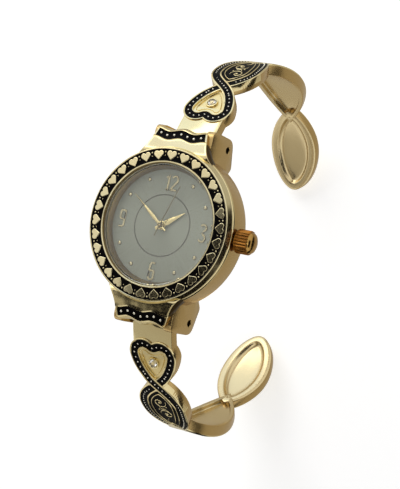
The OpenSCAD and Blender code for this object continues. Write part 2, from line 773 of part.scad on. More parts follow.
module bridge_screws() color([0.7, 0.7, 0.72]) {
    head_t = 0.25;
    for (p = screw_spots) translate([p[0], p[1], 0]) difference() {
        union() {
            translate([0, 0, bridge_z - board_t - head_t]) cylinder(r = 0.55, h = head_t);
            translate([0, 0, bridge_z - board_t - eps]) cylinder(r = screw_r, h = plate_z - bridge_z + board_t + 0.9);
        }
        translate([-1, -0.07, bridge_z - board_t - head_t - eps]) cube([2, 0.14, 0.12]);
    }
}

module circuit_board() color([0.1, 0.35, 0.2]) {
    translate([0, 0, bridge_z - board_t]) difference() {
        union() {
            intersection() {
                cylinder(r = movement_r - 0.5, h = board_t);
                translate([board_x, board_y, 0]) cube([movement_d, board_l, board_t]);
            }
            // Sealed chip
            translate([chip_x, 0, -chip_t]) cylinder(r = chip_r, h = chip_t + eps);
        }
        for (p = screw_spots) translate([p[0], p[1], -1]) cylinder(r = screw_r + snug, h = 2);
        translate([0, 0, -1]) cell_pocket(0, 3);
    }
}

coil_y = -6.35;
coil_l = 6.4;
coil_r = 0.5;
stator_t = 0.22;
stator_w = 0.7;
stator_ring = 0.45;
coil_pad = 0.8;
stator_z = seconds_wheel_z - 0.02;

module coil() color([0.72, 0.42, 0.18]) {
    z = stator_z + stator_t + 0.22;
    translate([-coil_l / 2 + 1, coil_y, z]) rotate([0, 90, 0]) {
        translate([0, 0, coil_pad + 0.1]) cylinder(r = coil_r, h = coil_l - 2 * coil_pad - 0.2);
        for (x = [coil_pad + 0.05, coil_l - coil_pad - 0.25])
            translate([0, 0, x]) cylinder(r = coil_r + 0.06, h = 0.2);
    }
    // Flat ends of the core, which lie on the stator
    for (x = [-coil_l / 2, coil_l / 2 - coil_pad - 0.1])
        translate([1 + x, coil_y - 0.35, z - 0.22]) cube([coil_pad + 0.1, 0.7, 0.4]);
}

module stator() color([0.62, 0.62, 0.64]) {
    hole = magnet_r + 0.18;
    rotor_p = (step_dist + rotor_dist) * [cos(step_at), sin(step_at)];
    translate([0, 0, stator_z]) difference() {
        union() {
            translate(rotor_p) cylinder(r = hole + stator_ring, h = stator_t);
            translate([rotor_p[0] - stator_w / 2, coil_y + 1.2, 0])
                cube([stator_w, rotor_p[1] - coil_y - hole - 1.3, stator_t]);
            translate([1 - coil_l / 2, coil_y + 1, 0]) cube([coil_l, 0.6, stator_t]);
            for (x = [-coil_l / 2, coil_l / 2 - coil_pad])
                translate([1 + x, coil_y - 0.35, 0]) cube([coil_pad, 1.6, stator_t]);
        }
        translate([rotor_p[0], rotor_p[1], -eps]) cylinder(r = hole, h = stator_t + 2 * eps);
    }
}

module button_cell() color([0.75, 0.76, 0.78]) {
    r = cell_d / 2;
    translate([cell_x, 0, cell_z]) rotate_extrude()
        polygon([[0, 0], [r - 0.15, 0], [r, 0.15], [r, cell_t - 0.4], [r - 0.35, cell_t - 0.2],
                 [r - 0.35, cell_t], [0, cell_t]]);
}

module cell_clamp() color([0.8, 0.8, 0.8]) {
    w = 1.2;
    foot_x = cell_x + 1.6;
    post_y = cell_d / 2 + 0.75;
    translate([foot_x - w / 2, -post_y - 0.4, cell_z - clamp_t - 0.02]) cube([w, 2 * post_y + 0.8, clamp_t]);
    for (side = [-1, 1])
        translate([foot_x, side * post_y, cell_z - clamp_t]) cylinder(r = 0.38, h = plate_z - cell_z + clamp_t);
}

// Wheels, from the rotor to the hour wheel

module arbor(z0, z1, r = pivot_r) { translate([0, 0, z0]) cylinder(r = r, h = z1 - z0, $fn = 32); }

module rotor() color([0.3, 0.3, 0.32]) at_axis(step_dist + rotor_dist, step_at) {
    magnet_z = stator_z - 0.05;
    arbor(bridge_z + 0.1, plate_z + 0.3);
    translate([0, 0, magnet_z]) cylinder(r = magnet_r, h = magnet_h);
    translate([0, 0, step_wheel_z - 0.05]) linear_extrude(wheel_t + 0.1)
        gap_at(step_at, rotor_teeth) teeth(rotor_teeth, rotor_mod * 1.0);
}

module step_wheel() color([0.85, 0.75, 0.4]) at_axis(step_dist, step_at) {
    arbor(bridge_z + 0.1, plate_z + 0.3);
    translate([0, 0, step_wheel_z]) linear_extrude(wheel_t) tooth_at(step_at) teeth(step_teeth, rotor_mod);
    translate([0, 0, seconds_wheel_z - 0.04]) linear_extrude(step_wheel_z - seconds_wheel_z + 0.05)
        gap_at(step_at, step_pinion_teeth) teeth(step_pinion_teeth, seconds_mod);
}

module seconds_wheel() color([0.85, 0.75, 0.4]) {
    arbor(bridge_z + 0.1, second_z + hand_t + 0.03, seconds_arbor_r);
    translate([0, 0, seconds_wheel_z]) linear_extrude(wheel_t) tooth_at(step_at) teeth(seconds_teeth, seconds_mod);
    translate([0, 0, seconds_wheel_z + wheel_t - eps]) linear_extrude(0.3)
        tooth_at(third_at) teeth(seconds_pinion_teeth, third_mod);
}

module third_wheel() color([0.85, 0.75, 0.4]) at_axis(third_dist, third_at) {
    arbor(bridge_z + 0.1, plate_z + 0.3);
    translate([0, 0, third_wheel_z]) linear_extrude(wheel_t) gap_at(third_at, third_teeth) teeth(third_teeth, third_mod);
    translate([0, 0, third_wheel_z + wheel_t - eps]) linear_extrude(centre_wheel_z + 0.1 - third_wheel_z)
        gap_at(third_at, third_pinion_teeth) teeth(third_pinion_teeth, centre_mod);
}

module centre_wheel() color([0.85, 0.75, 0.4]) {
    difference() {
        union() {
            arbor(centre_wheel_z - 0.05, minute_z + hand_t + 0.03, minute_tube_r);
            translate([0, 0, centre_wheel_z]) linear_extrude(wheel_t) tooth_at(third_at) teeth(centre_teeth, centre_mod);
            translate([0, 0, motion_z]) linear_extrude(wheel_t) tooth_at(minute_at) teeth(cannon_teeth, motion_mod);
        }
        arbor(centre_wheel_z - 1, head_h, seconds_arbor_r + run_gap);
    }
}

module minute_wheel() color([0.85, 0.75, 0.4]) at_axis(minute_dist, minute_at) {
    difference() {
        union() {
            translate([0, 0, motion_z]) linear_extrude(wheel_t) gap_at(minute_at, minute_teeth) teeth(minute_teeth, motion_mod);
            translate([0, 0, motion_z + wheel_t - eps]) linear_extrude(0.28)
                gap_at(minute_at, minute_pinion_teeth) teeth(minute_pinion_teeth, motion_mod);
        }
        arbor(motion_z - 1, motion_z + 1, pivot_r + run_gap);
    }
}

module hour_wheel() color([0.85, 0.75, 0.4]) {
    difference() {
        union() {
            translate([0, 0, hour_wheel_z]) linear_extrude(wheel_t) tooth_at(minute_at) teeth(hour_teeth, motion_mod);
            arbor(hour_wheel_z, hour_z + hand_t + 0.03, hour_tube_r);
        }
        arbor(hour_wheel_z - 1, head_h, minute_tube_r + run_gap);
    }
}

// Crown and stem

module crown_tube() color([0.7, 0.62, 0.4]) {
    x0 = cavity_r + 0.2;
    translate([x0, 0, stem_z]) rotate([0, 90, 0]) ring(tube_r, stem_r + run_gap, case_r + tube_out - x0);
}

module stem() color([0.6, 0.6, 0.62]) {
    groove_w = yoke_t + 0.1;
    translate([0, 0, stem_z]) rotate([0, 90, 0]) difference() {
        translate([0, 0, stem_x]) cylinder(r = stem_r, h = crown_x + 1.6 - stem_x);
        translate([0, 0, yoke_x - groove_w / 2]) ring(stem_r + 1, stem_r * 0.6, groove_w);
    }
}

module stem_yoke() color([0.66, 0.66, 0.68]) {
    difference() {
        translate([yoke_x - yoke_t / 2, -yoke_w / 2, plate_z + 0.1]) cube([yoke_t, yoke_w, plate_t - 0.2]);
        translate([yoke_x - 1, 0, stem_z]) rotate([0, 90, 0]) cylinder(r = stem_r * 0.6 + run_gap, h = 2);
    }
}

module flutes() {
    step = 360 / flute_count;
    polygon([for (i = [0:flute_count - 1], k = [[0, crown_r], [0.45, crown_r], [0.6, crown_r - flute_depth],
             [0.85, crown_r - flute_depth]]) k[1] * [cos((i + k[0]) * step), sin((i + k[0]) * step)]]);
}

module crown() color([0.80, 0.58, 0.20]) {
    dome_r = crown_r - flute_depth - 0.05;
    hub_l = tube_out + crown_x - case_r + 0.1;
    translate([crown_x, 0, stem_z]) rotate([0, 90, 0]) difference() {
        union() {
            linear_extrude(crown_l) flutes();
            rotate_extrude() polygon([[0, crown_l - 0.2], [dome_r, crown_l - 0.2], [dome_r, crown_l], [dome_r * 0.93, crown_l + crown_dome * 0.4],
                [dome_r * 0.7, crown_l + crown_dome * 0.8], [dome_r * 0.35, crown_l + crown_dome], [0, crown_l + crown_dome]]);
        }
        translate([0, 0, -eps]) cylinder(r = tube_r + 0.3, h = hub_l);
        translate([0, 0, -eps]) cylinder(r = stem_r, h = 1.6 + eps);
    }
}

module crown_gasket() color([0.1, 0.1, 0.1]) {
    z = tube_out - 0.2;
    translate([crown_x + 0.15, 0, stem_z]) rotate([0, 90, 0]) ring(tube_r + 0.3, tube_r + run_gap, 0.3);
}

// Hinges

module hinge_pin() color([0.62, 0.55, 0.38]) {
    half = cheek_x - 0.5;
    translate([-half, pin_y, pin_z]) rotate([0, 90, 0]) cylinder(r = pin_r, h = 2 * half);
}
module upper_hinge_pin() { hinge_pin(); }
module lower_hinge_pin() { lower_side() hinge_pin(); }

// Torsion spring, wound round the pin between the arm's two knuckles, with a leg at each end
module hinge_spring() color([0.55, 0.55, 0.58]) {
    turns = 10;
    half = turns * spring_wire / 2;
    inner = spring_r - spring_wire / 2;
    outer = spring_r + spring_wire / 2;
    translate([-half, pin_y, pin_z]) rotate([0, 90, 0]) rotate_extrude()
        polygon(concat([[inner, 0]], [for (i = [0:turns - 1], k = [[0.07, 0], [0, 0.25], [0, 0.75]])
            [outer - k[0], (i + k[1]) * spring_wire]],
            [[outer - 0.07, turns * spring_wire], [inner, turns * spring_wire]]));
    // One leg rests on the case wall, the other under the arm
    leg_x = half - 0.2;
    leg_r = 0.13;
    translate([-leg_x, pin_y - spring_r, pin_z]) rotate([14, 0, 0]) cylinder(r = leg_r, h = 1.8);
    translate([leg_x, pin_y + spring_r, pin_z]) cylinder(r = leg_r, h = 1);
}
module upper_hinge_spring() { hinge_spring(); }
module lower_hinge_spring() { lower_side() hinge_spring(); }

// Arms

// The layer between two depths below the arm's outer face on one arc, from angle a to angle b
module arc_layer(r, cy, cz, a, b, from, to) {
    w = end_w + 4;
    far = 1.5 * r;
    translate([-w / 2, cy, cz - oval_drop]) rotate([90, 0, 90]) intersection() {
        ring(r - from, r - to, w);
        linear_extrude(w) polygon([[0, 0], far * [cos(a), sin(a)], 1.4 * far * [cos((a + b) / 2), sin((a + b) / 2)],
                                   far * [cos(b), sin(b)]]);
    }
}

// The layer of the arm between two depths below its outer face
module layer(from, to) {
    arc_layer(long_r, 0, long_c, join_e, 80, from, to);
    arc_layer(side_r, side_c, 0, -join_e, join_e, from, to);
    arc_layer(long_r, 0, -long_c, -80, -join_e, from, to);
}

// Turned to the arm's outer face at path length s: X is across, Y along and Z outward
module on_arm(s) {
    e = arm_e(s);
    p = arm_point(e);
    translate([0, p[0], p[1]]) rotate([e - 90, 0, 0]) children();
}

// Prism through the arm for an outline with its Y along the arm
module prism(points) { translate([0, 0, -reach]) linear_extrude(reach + 3) polygon(points); }
module oval_prism(w, back, front, inset = 0) { prism(both_sides(oval_side(w / 2, back, front, inset))); }
module heart_prism(inset = 0) {
    translate([0, -heart_mid, 0]) prism(both_sides(heart_side(heart_link_w, heart_lobe_s, heart_tip_s, 1.1, inset)));
}

// Length across a side arc's chord that covers a path length l from its middle
function chord(l) = side_r * sin(l / side_r * 180 / PI);

module heart_link(inset = 0) { on_arm(heart_mid) heart_prism(inset); }
module leaf_link(inset = 0) { on_arm(leaf_s) oval_prism(leaf_w, leaf_back, chord(leaf_front), inset); }
module plain_link(inset = 0) { on_arm(plain_s) oval_prism(plain_w, chord(plain_back), chord(plain_front), inset); }
module end_link(inset = 0) {
    on_arm(end_s)
        prism(both_sides(egg_side(end_w / 2, end_back, end_front, end_back_blunt, end_front_blunt, inset)));
}

module neck(side) {
    neck_len = 5.4;
    on_arm(-neck_len / 2 + 0.6)
        translate([-neck_w / 2 - side, -neck_len / 2 - side, -4]) cube([neck_w + 2 * side, neck_len + side, 6]);
}

module links() {
    neck(0);
    heart_link();
    leaf_link();
    plain_link();
    end_link();
}

// Channels that hold the black enamel: round the heart and in the leaf
module heart_channel() {
    difference() {
        heart_link(border);
        heart_link(border + band_w);
    }
}
module leaf_band() {
    difference() {
        leaf_link(border);
        leaf_link(border + band_w);
        on_arm(leaf_s) translate([-leaf_w, -leaf_back - 2, -reach]) cube([2 * leaf_w, 3.9, reach + 4]);
    }
}
module leaf_rings() {
    inner = border + band_w + line_w;
    difference() {
        leaf_link(inner);
        leaf_link(inner + line_gap);
    }
    leaf_link(inner + line_gap + line_w);
}

module channels() {
    heart_channel();
    leaf_band();
    leaf_rings();
}

module knuckles() {
    half = neck_w / 2 - 0.05;
    heel_y = back_r + 1.35;
    for (x = [-half, spring_w / 2]) {
        translate([x, pin_y, pin_z]) rotate([0, 90, 0]) cylinder(r = barrel_r, h = half - spring_w / 2);
        translate([x, heel_y, pin_z - barrel_r - 0.25]) cube([half - spring_w / 2, pin_y - heel_y, 0.7]);
    }
}

module arm_body() {
    difference() {
        intersection() {
            layer(0, arm_t);
            links();
        }
        // Room to swing open under the hood and past the case wall
        translate([-cheek_x, 0, pin_z - 2]) cube([cheeks_w, pin_y + 0.75, 8]);
        translate([-spring_w / 2, pin_y, pin_z]) rotate([0, 90, 0]) cylinder(r = barrel_r + 0.05, h = spring_w);
    }
    knuckles();
}

module arm() color([0.80, 0.71, 0.46]) {
    difference() {
        arm_body();
        intersection() {
            layer(-1, enamel_t);
            channels();
        }
        // The neck lies lower than the heart
        difference() {
            intersection() {
                layer(-1, neck_drop);
                neck(0.5);
            }
            heart_link();
        }
        // The heart's sunken floor
        intersection() {
            layer(-1, floor_drop);
            heart_link(border + band_w + line_w);
        }
        // Hollow back of the links, and the spoon-like inner face of the end link
        intersection() {
            layer(arm_t - 0.9, arm_t + 1);
            union() {
                heart_link(wall_t);
                leaf_link(wall_t);
                plain_link(wall_t);
            }
        }
        intersection() {
            layer(arm_t - 0.75, arm_t + 1);
            end_link(rim);
        }
        translate([-cheek_x, pin_y, pin_z]) rotate([0, 90, 0]) cylinder(r = pin_r + run_gap, h = cheeks_w);
        stone_seat();
    }
    difference() {
        on_arm(stone_s) translate([0, 0, -setting_h - 0.25]) cylinder(r = setting_r, h = setting_h + 0.3);
        stone_seat();
    }
}

// Tapered seat for the stone
module stone_seat() {
    on_arm(stone_s) {
        translate([0, 0, -setting_h]) cylinder(r1 = 0.2, r2 = stone_d / 2, h = setting_h);
        translate([0, 0, -eps]) cylinder(r = stone_d / 2, h = 1);
    }
}
module stone() color([0.92, 0.95, 1, 0.6]) {
    on_arm(stone_s) {
        translate([0, 0, -setting_h]) cylinder(r1 = 0.2, r2 = stone_d / 2, h = setting_h);
        translate([0, 0, -eps]) cylinder(r1 = stone_d / 2, r2 = stone_d / 3.4, h = 0.25);
    }
}

module arm_enamel() color([0.06, 0.05, 0.05]) {
    intersection() {
        layer(0.04, enamel_t);
        channels();
    }
}

module upper_arm() { arm(); }
module lower_arm() { lower_side() arm(); }
module upper_arm_enamel() { arm_enamel(); }
module lower_arm_enamel() { lower_side() arm_enamel(); }
module upper_stone() { stone(); }
module lower_stone() { lower_side() stone(); }

case_body();
bezel();
bezel_enamel();
upper_collar_enamel();
lower_collar_enamel();
crystal();
crystal_gasket();
dial_flange();
dial();
dial_numerals();
dial_dots();
case_back();
case_back_gasket();
movement_holder();
main_plate();
train_bridge();
bridge_screws();
circuit_board();
coil();
stator();
button_cell();
cell_clamp();
crown_tube();
upper_hinge_pin();
lower_hinge_pin();
upper_hinge_spring();
lower_hinge_spring();
rotor();
step_wheel();
seconds_wheel();
third_wheel();
centre_wheel();
minute_wheel();
hour_wheel();
second_hand();
minute_hand();
hour_hand();
stem_yoke();
stem();
crown();
crown_gasket();
upper_arm();
lower_arm();
upper_arm_enamel();
lower_arm_enamel();
upper_stone();
lower_stone();
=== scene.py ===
"""Bangle watch: a round watch head between two hinged arms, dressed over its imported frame.

Lengths are in millimetres inside the classes and turn to metres where a mesh is made.
The frame is the part's own: origin in the middle of the case back's outer face, +Z out of
the dial, +Y to 12 o'clock and +X to 3 o'clock.
"""
from __future__ import annotations

import json
import logging
import math
from dataclasses import dataclass, field
from enum import Enum, IntEnum
from typing import Any, Callable, Sequence

import bmesh
import bpy
from mathutils import Matrix, Vector
from mathutils.geometry import tessellate_polygon


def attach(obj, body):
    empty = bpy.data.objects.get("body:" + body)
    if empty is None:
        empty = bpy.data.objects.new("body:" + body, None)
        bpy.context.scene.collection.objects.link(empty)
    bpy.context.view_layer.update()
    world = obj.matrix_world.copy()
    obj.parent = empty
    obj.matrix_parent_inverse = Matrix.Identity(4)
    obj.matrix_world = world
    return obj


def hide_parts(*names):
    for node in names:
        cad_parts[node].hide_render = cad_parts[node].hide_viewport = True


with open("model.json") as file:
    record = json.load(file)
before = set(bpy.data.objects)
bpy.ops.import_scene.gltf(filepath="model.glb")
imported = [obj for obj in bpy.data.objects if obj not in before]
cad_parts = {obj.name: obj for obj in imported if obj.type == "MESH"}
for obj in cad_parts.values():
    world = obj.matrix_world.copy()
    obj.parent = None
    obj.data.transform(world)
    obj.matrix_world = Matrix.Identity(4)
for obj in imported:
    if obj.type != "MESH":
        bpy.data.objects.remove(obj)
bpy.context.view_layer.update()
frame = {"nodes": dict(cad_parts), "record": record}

LOG = logging.getLogger("bangle_watch")
MM = 0.001
# the pin of each hinge: how far out from the dial's axis, and how high
PIN_Y = 14.1
PIN_Z = -0.6

Point2 = tuple[float, float]
Point3 = tuple[float, float, float]
# inset, height and the finish number of what follows
Band = tuple[float, float, int]
Ring = list[Vector]
Rows = Sequence[Sequence[Vector]]
Marks = int | Sequence[int]
Tree = bpy.types.NodeTree
Node = bpy.types.Node
Socket = bpy.types.NodeSocket


class Side(Enum):
    """The two ends of the head, as a turn round the dial's axis in degrees."""

    UPPER = 0.0
    LOWER = 180.0

    @property
    def label(self) -> str:
        """The word that starts the names of this side's nodes."""
        return self.name.lower()

    @property
    def turn(self) -> Matrix:
        """The rotation that takes the 12 o'clock side to this one."""
        return Matrix.Rotation(math.radians(self.value), 4, "Z")


def linear(code: str, alpha: float = 1.0) -> tuple[float, float, float, float]:
    """Turns an sRGB hex colour to linear light.

    Args:
        code: the colour as "#RRGGBB".
        alpha: the fourth value of the result.

    Returns:
        Red, green, blue and alpha, from 0 to 1.
    """
    values = [int(code[i : i + 2], 16) / 255 for i in (1, 3, 5)]
    red, green, blue = (v / 12.92 if v <= 0.04045 else ((v + 0.055) / 1.055) ** 2.4 for v in values)
    return red, green, blue, alpha


def per_mm(size: float) -> float:
    """The texture scale that gives one feature every size millimetres in object space."""
    return 1000.0 / size


def smoothstep(low: float, high: float, value: float) -> float:
    """Eases from 0 at low to 1 at high."""
    t = min(max((value - low) / (high - low), 0.0), 1.0)
    return t * t * (3 - 2 * t)


def add(tree: Tree, kind: str, inputs: dict[str | int, Any] | None = None, **settings: Any) -> Node:
    """Adds a node with its settings and links.

    Args:
        tree: the node tree that the node goes into.
        kind: Blender's name for the kind of node.
        inputs: for each socket, by name or number, its value or the output linked to it.
        **settings: the node's own attributes.

    Returns:
        The new node.
    """
    node = tree.nodes.new(kind)
    for name, value in settings.items():
        setattr(node, name, value)
    for key, value in (inputs or {}).items():
        if isinstance(value, Socket):
            tree.links.new(value, node.inputs[key])
        else:
            node.inputs[key].default_value = value
    return node


def point_of(tree: Tree) -> Socket:
    """The point that is shaded, in the piece's own space."""
    return add(tree, "ShaderNodeTexCoord").outputs["Object"]


def noise(tree: Tree, place: Socket, size: float, detail: float) -> Socket:
    """Noise from 0 to 1 with features of size millimetres and detail finer layers."""
    node = add(tree, "ShaderNodeTexNoise", {"Vector": place, "Scale": per_mm(size), "Detail": detail})
    return node.outputs["Fac"]


def mapped(tree: Tree, value: Socket, ends: dict[str, float]) -> Socket:
    """A value moved from one range to another, whose ends are named as on the node."""
    return add(tree, "ShaderNodeMapRange", {"Value": value, **ends}).outputs["Result"]


def maths(tree: Tree, operation: str, a: Socket, b: Socket) -> Socket:
    """The result of an operation on two values."""
    return add(tree, "ShaderNodeMath", {0: a, 1: b}, operation=operation).outputs["Value"]


def bump(tree: Tree, shader: Node, height: Socket, distance: float, strength: float = 1.0) -> None:
    """Tilts the shader's surface by a height that spans distance millimetres."""
    node = add(tree, "ShaderNodeBump", {"Height": height, "Strength": strength, "Distance": distance * MM})
    tree.links.new(node.outputs["Normal"], shader.inputs["Normal"])


def blank_material(name: str) -> bpy.types.Material:
    """Makes a material without nodes in its tree.

    Args:
        name: its name.

    Returns:
        The new material.
    """
    made = bpy.data.materials.new(name)
    made.use_nodes = True
    made.node_tree.nodes.clear()
    return made


# Finishes


@dataclass(frozen=True)
class Finish:
    """A finish with one colour all over: its shader values, without a pattern."""

    name: str
    colour: str
    metallic: float = 0.0
    roughness: float = 0.4
    ior: float = 1.5
    specular: float = 0.5

    def vary(self, tree: Tree, shader: Node, value: Socket, low: float, high: float) -> None:
        """Lets the roughness follow a value, from low to high times the finish's own."""
        ends = {"To Min": self.roughness * low, "To Max": self.roughness * high}
        tree.links.new(mapped(tree, value, ends), shader.inputs["Roughness"])

    def shade(self, tree: Tree, shader: Node) -> None:
        """Adds the finish's pattern: on a plain one, a faint variation of its roughness."""
        self.vary(tree, shader, noise(tree, point_of(tree), size=0.6, detail=3.0), 0.85, 1.15)

    def material(self) -> bpy.types.Material:
        """Makes the Blender material once and gives the same one after that.

        Returns:
            The finish's material.
        """
        if self.name in bpy.data.materials:
            return bpy.data.materials[self.name]
        made = blank_material(self.name)
        tree = made.node_tree
        shader = add(
            tree,
            "ShaderNodeBsdfPrincipled",
            {
                "Base Color": linear(self.colour),
                "Metallic": self.metallic,
                "Roughness": self.roughness,
                "IOR": self.ior,
                "Specular IOR Level": self.specular,
            },
        )
        end = add(tree, "ShaderNodeOutputMaterial", {"Surface": shader.outputs["BSDF"]})
        end.is_active_output = True
        made.diffuse_color = linear(self.colour)
        self.shade(tree, shader)
        return made


@dataclass(frozen=True)
class PolishedPlating(Finish):
    """Pale gold plating over polished brass: mirror-like, with a slow orange-peel ripple and hairlines.

    The eye sees sharp reflections that waver slightly, and a tone that warms where the plating is
    thick. Real hairlines are some thousandths of a millimetre wide. They are drawn hairline_mm
    wide, as a render would show nothing of finer ones.
    """

    metallic: float = 1.0
    warm: str = "#C9A868"
    ripple_mm: float = 2.6
    ripple: float = 0.05
    hairline_mm: float = 0.22

    def shade(self, tree: Tree, shader: Node) -> None:
        """Adds the plating's warm drift, the ripple of the polish and its hairlines.

        Args:
            tree: the material's node tree.
            shader: its shader.
        """
        place = point_of(tree)
        drift = noise(tree, place, size=7.0, detail=2.0)
        tone = mapped(tree, drift, {"From Min": 0.4, "From Max": 0.75, "To Max": 0.35})
        ends = {"Factor": tone, "A": linear(self.colour), "B": linear(self.warm)}
        colour = add(tree, "ShaderNodeMix", ends, data_type="RGBA")
        tree.links.new(colour.outputs["Result"], shader.inputs["Base Color"])
        self.vary(tree, shader, noise(tree, place, size=self.hairline_mm, detail=4.0), 0.7, 1.3)
        bump(tree, shader, noise(tree, place, size=self.ripple_mm, detail=1.0), self.ripple)


@dataclass(frozen=True)
class SatinPlating(Finish):
    """Metal with a matt, cast, drawn or brushed face, plated or bare: broad highlights and a fine tooth.

    The eye sees an even tone with short streaks along stroke, the way the brush or tumbler ran. A
    real tooth is some hundredths of a millimetre wide and is drawn tooth_mm wide, so that it shows.
    """

    metallic: float = 1.0
    tooth_mm: float = 0.16
    stroke: Point3 = (1.0, 1.0, 1.0)
    depth: float = 0.006

    def shade(self, tree: Tree, shader: Node) -> None:
        """Adds the brushed or cast tooth as bump, and its streaks in the roughness.

        Args:
            tree: the material's node tree.
            shader: its shader.
        """
        drawn = add(tree, "ShaderNodeMapping", {"Vector": point_of(tree), "Scale": self.stroke})
        tooth = noise(tree, drawn.outputs["Vector"], size=self.tooth_mm, detail=4.0)
        self.vary(tree, shader, tooth, 0.8, 1.25)
        bump(tree, shader, tooth, self.depth)


@dataclass(frozen=True)
class SoftEnamel(Finish):
    """Black soft enamel, wiped into its channels and cured: deep black with a dull, slightly wavy skin.

    The eye sees near black that barely shines, with a rare pore.
    """

    specular: float = 0.1
    pore_mm: float = 0.5

    def shade(self, tree: Tree, shader: Node) -> None:
        """Adds a slow ripple of the cured skin, and pores of a tenth of a millimetre.

        Args:
            tree: the material's node tree.
            shader: its shader.
        """
        place = point_of(tree)
        ripple = noise(tree, place, size=1.2, detail=2.0)
        pores = add(tree, "ShaderNodeTexVoronoi", {"Vector": place, "Scale": per_mm(self.pore_mm)})
        dot = mapped(tree, pores.outputs["Distance"], {"From Max": 0.16, "To Min": 0.0, "To Max": 0.3})
        bump(tree, shader, maths(tree, "ADD", ripple, dot), distance=0.03, strength=0.6)


@dataclass(frozen=True)
class SunrayDial(Finish):
    """Silvered brass dial, brushed outward from its middle: a soft fan of light that turns with the view.

    The streaks run along the radius, so the pattern is drawn over the angle round the dial's axis.
    Real brush lines are some hundredths of a millimetre wide. They are drawn coarser, streaks of
    them round the dial, as a render would show nothing of finer ones.
    """

    metallic: float = 0.35
    streaks: float = 150.0

    def shade(self, tree: Tree, shader: Node) -> None:
        """Adds radial streaks to the colour and roughness, and a radial tangent for the sheen.

        Args:
            tree: the material's node tree.
            shader: its shader.
        """
        parts = add(tree, "ShaderNodeSeparateXYZ", {0: point_of(tree)})
        angle = maths(tree, "ARCTAN2", parts.outputs["Y"], parts.outputs["X"])
        # the angle runs over 6.28 radians
        lines = {"W": angle, "Scale": self.streaks / 6.28, "Detail": 4.0}
        fan = add(tree, "ShaderNodeTexNoise", lines, noise_dimensions="1D").outputs["Fac"]
        shade = mapped(tree, fan, {"From Min": 0.25, "From Max": 0.75, "To Min": 0.9, "To Max": 1.06})
        tones = {"Factor": 1.0, "A": linear(self.colour), "B": shade}
        colour = add(tree, "ShaderNodeMix", tones, data_type="RGBA", blend_type="MULTIPLY")
        tree.links.new(colour.outputs["Result"], shader.inputs["Base Color"])
        self.vary(tree, shader, fan, 0.85, 1.2)
        shader.inputs["Anisotropic"].default_value = 0.55
        tangent = add(tree, "ShaderNodeTangent", direction_type="RADIAL", axis="Z")
        tree.links.new(tangent.outputs["Tangent"], shader.inputs["Tangent"])


@dataclass(frozen=True)
class ClearGlass(Finish):
    """Clear mineral glass or cut crystal: transparent, with reflections from its polished faces.

    Light that casts shadows passes straight through, as the eye finds no shadow under a watch glass.
    """

    roughness: float = 0.0
    ior: float = 1.52

    def shade(self, tree: Tree, shader: Node) -> None:
        """Turns transmission on and lets the lamps' light through to what lies beneath.

        Args:
            tree: the material's node tree.
            shader: its shader.
        """
        shader.inputs["Transmission Weight"].default_value = 1.0
        path = add(tree, "ShaderNodeLightPath")
        either = maths(tree, "MAXIMUM", path.outputs["Is Shadow Ray"], path.outputs["Is Diffuse Ray"])
        clear = add(tree, "ShaderNodeBsdfTransparent")
        ways = {0: either, 1: shader.outputs["BSDF"], 2: clear.outputs["BSDF"]}
        mixed = add(tree, "ShaderNodeMixShader", ways)
        end = next(n for n in tree.nodes if n.type == "OUTPUT_MATERIAL")
        tree.links.new(mixed.outputs["Shader"], end.inputs["Surface"])


# The finishes of this watch. Colours are those of the material in plain white light.
# Case top and arms: pale gold over polished brass, which mirrors the room in a warm cream.
GOLD = PolishedPlating("gold_polished", "#E0D09E", warm="#CDB078", roughness=0.13)
# Bezel: the same plating, its colour painted whiter as painted light, and on a flatter polish, so that its
# reflections run straight.
GOLD_PALE = PolishedPlating("gold_pale_bezel", "#DCD0A6", warm="#CBB27E", roughness=0.15, ripple=0.02)
# Ground of the hearts: plating over the cast face, soft, with a fine tooth.
GOLD_SATIN = SatinPlating("gold_satin_cast", "#D8C48C", roughness=0.30, tooth_mm=0.3)
# Side walls: brushed, with lengthwise streaks; their darker, browner colour than the top's is painted shade.
GOLD_SIDE = SatinPlating(
    "gold_brushed_side_painted_shade", "#BC9F68", roughness=0.24, tooth_mm=0.2, stroke=(1.0, 0.25, 0.25)
)
# Inner faces: tumbled and plated, bright but without a clear reflection.
GOLD_INNER = SatinPlating("gold_inner_face", "#D4C093", roughness=0.24, tooth_mm=0.4, depth=0.004)
# Tops of the numerals and dots: stamped and plated, a duller and greener gold than the case.
GOLD_APPLIED = PolishedPlating(
    "gold_applied", "#AAA27E", warm="#978C68", roughness=0.22, ripple_mm=1.2, ripple=0.01
)
# Their sides: a dark colour that is painted shade, which draws a thin dark line round each.
GOLD_APPLIED_SIDE = SatinPlating("gold_applied_side_painted_shade", "#3E3724", roughness=0.35, tooth_mm=0.2)
# Hour and minute hands: thin polished strip, of which one facet at a time flashes.
GOLD_HAND = PolishedPlating(
    "gold_hand", "#C6B885", warm="#AD9C68", roughness=0.18, ripple_mm=1.4, ripple=0.008
)
# Second hand: a flat wire, too narrow to mirror anything, which reads as a dull line.
GOLD_WIRE = SatinPlating("gold_wire_hand", "#645B40", roughness=0.3, tooth_mm=0.3)
# Crown's ribs and cap: a yellower plating, orange beside the case.
GOLD_CROWN = PolishedPlating(
    "gold_yellow_crown", "#B48E4E", warm="#8A6634", roughness=0.18, ripple_mm=1.0, ripple=0.01
)
# Crown's fluted barrel: the same plating, in a deep brown that is painted shade in the flutes.
GOLD_FLUTE = PolishedPlating(
    "gold_crown_flutes_painted_shade", "#8A5C26", warm="#6C4218", roughness=0.22, ripple_mm=1.0, ripple=0.01
)
# Rehaut: a turned, brushed ring, its olive brown painted as the shade of the bezel over it.
GOLD_FLANGE = SatinPlating("gold_brushed_flange", "#74622F", roughness=0.30, tooth_mm=0.25)
# Beads in the enamel: small polished caps, their colour painted almost white as a painted highlight.
GOLD_BEAD = PolishedPlating(
    "gold_bead_painted_highlight", "#E4DFCE", warm="#D8CFB4", roughness=0.16, ripple_mm=0.8, ripple=0.01
)
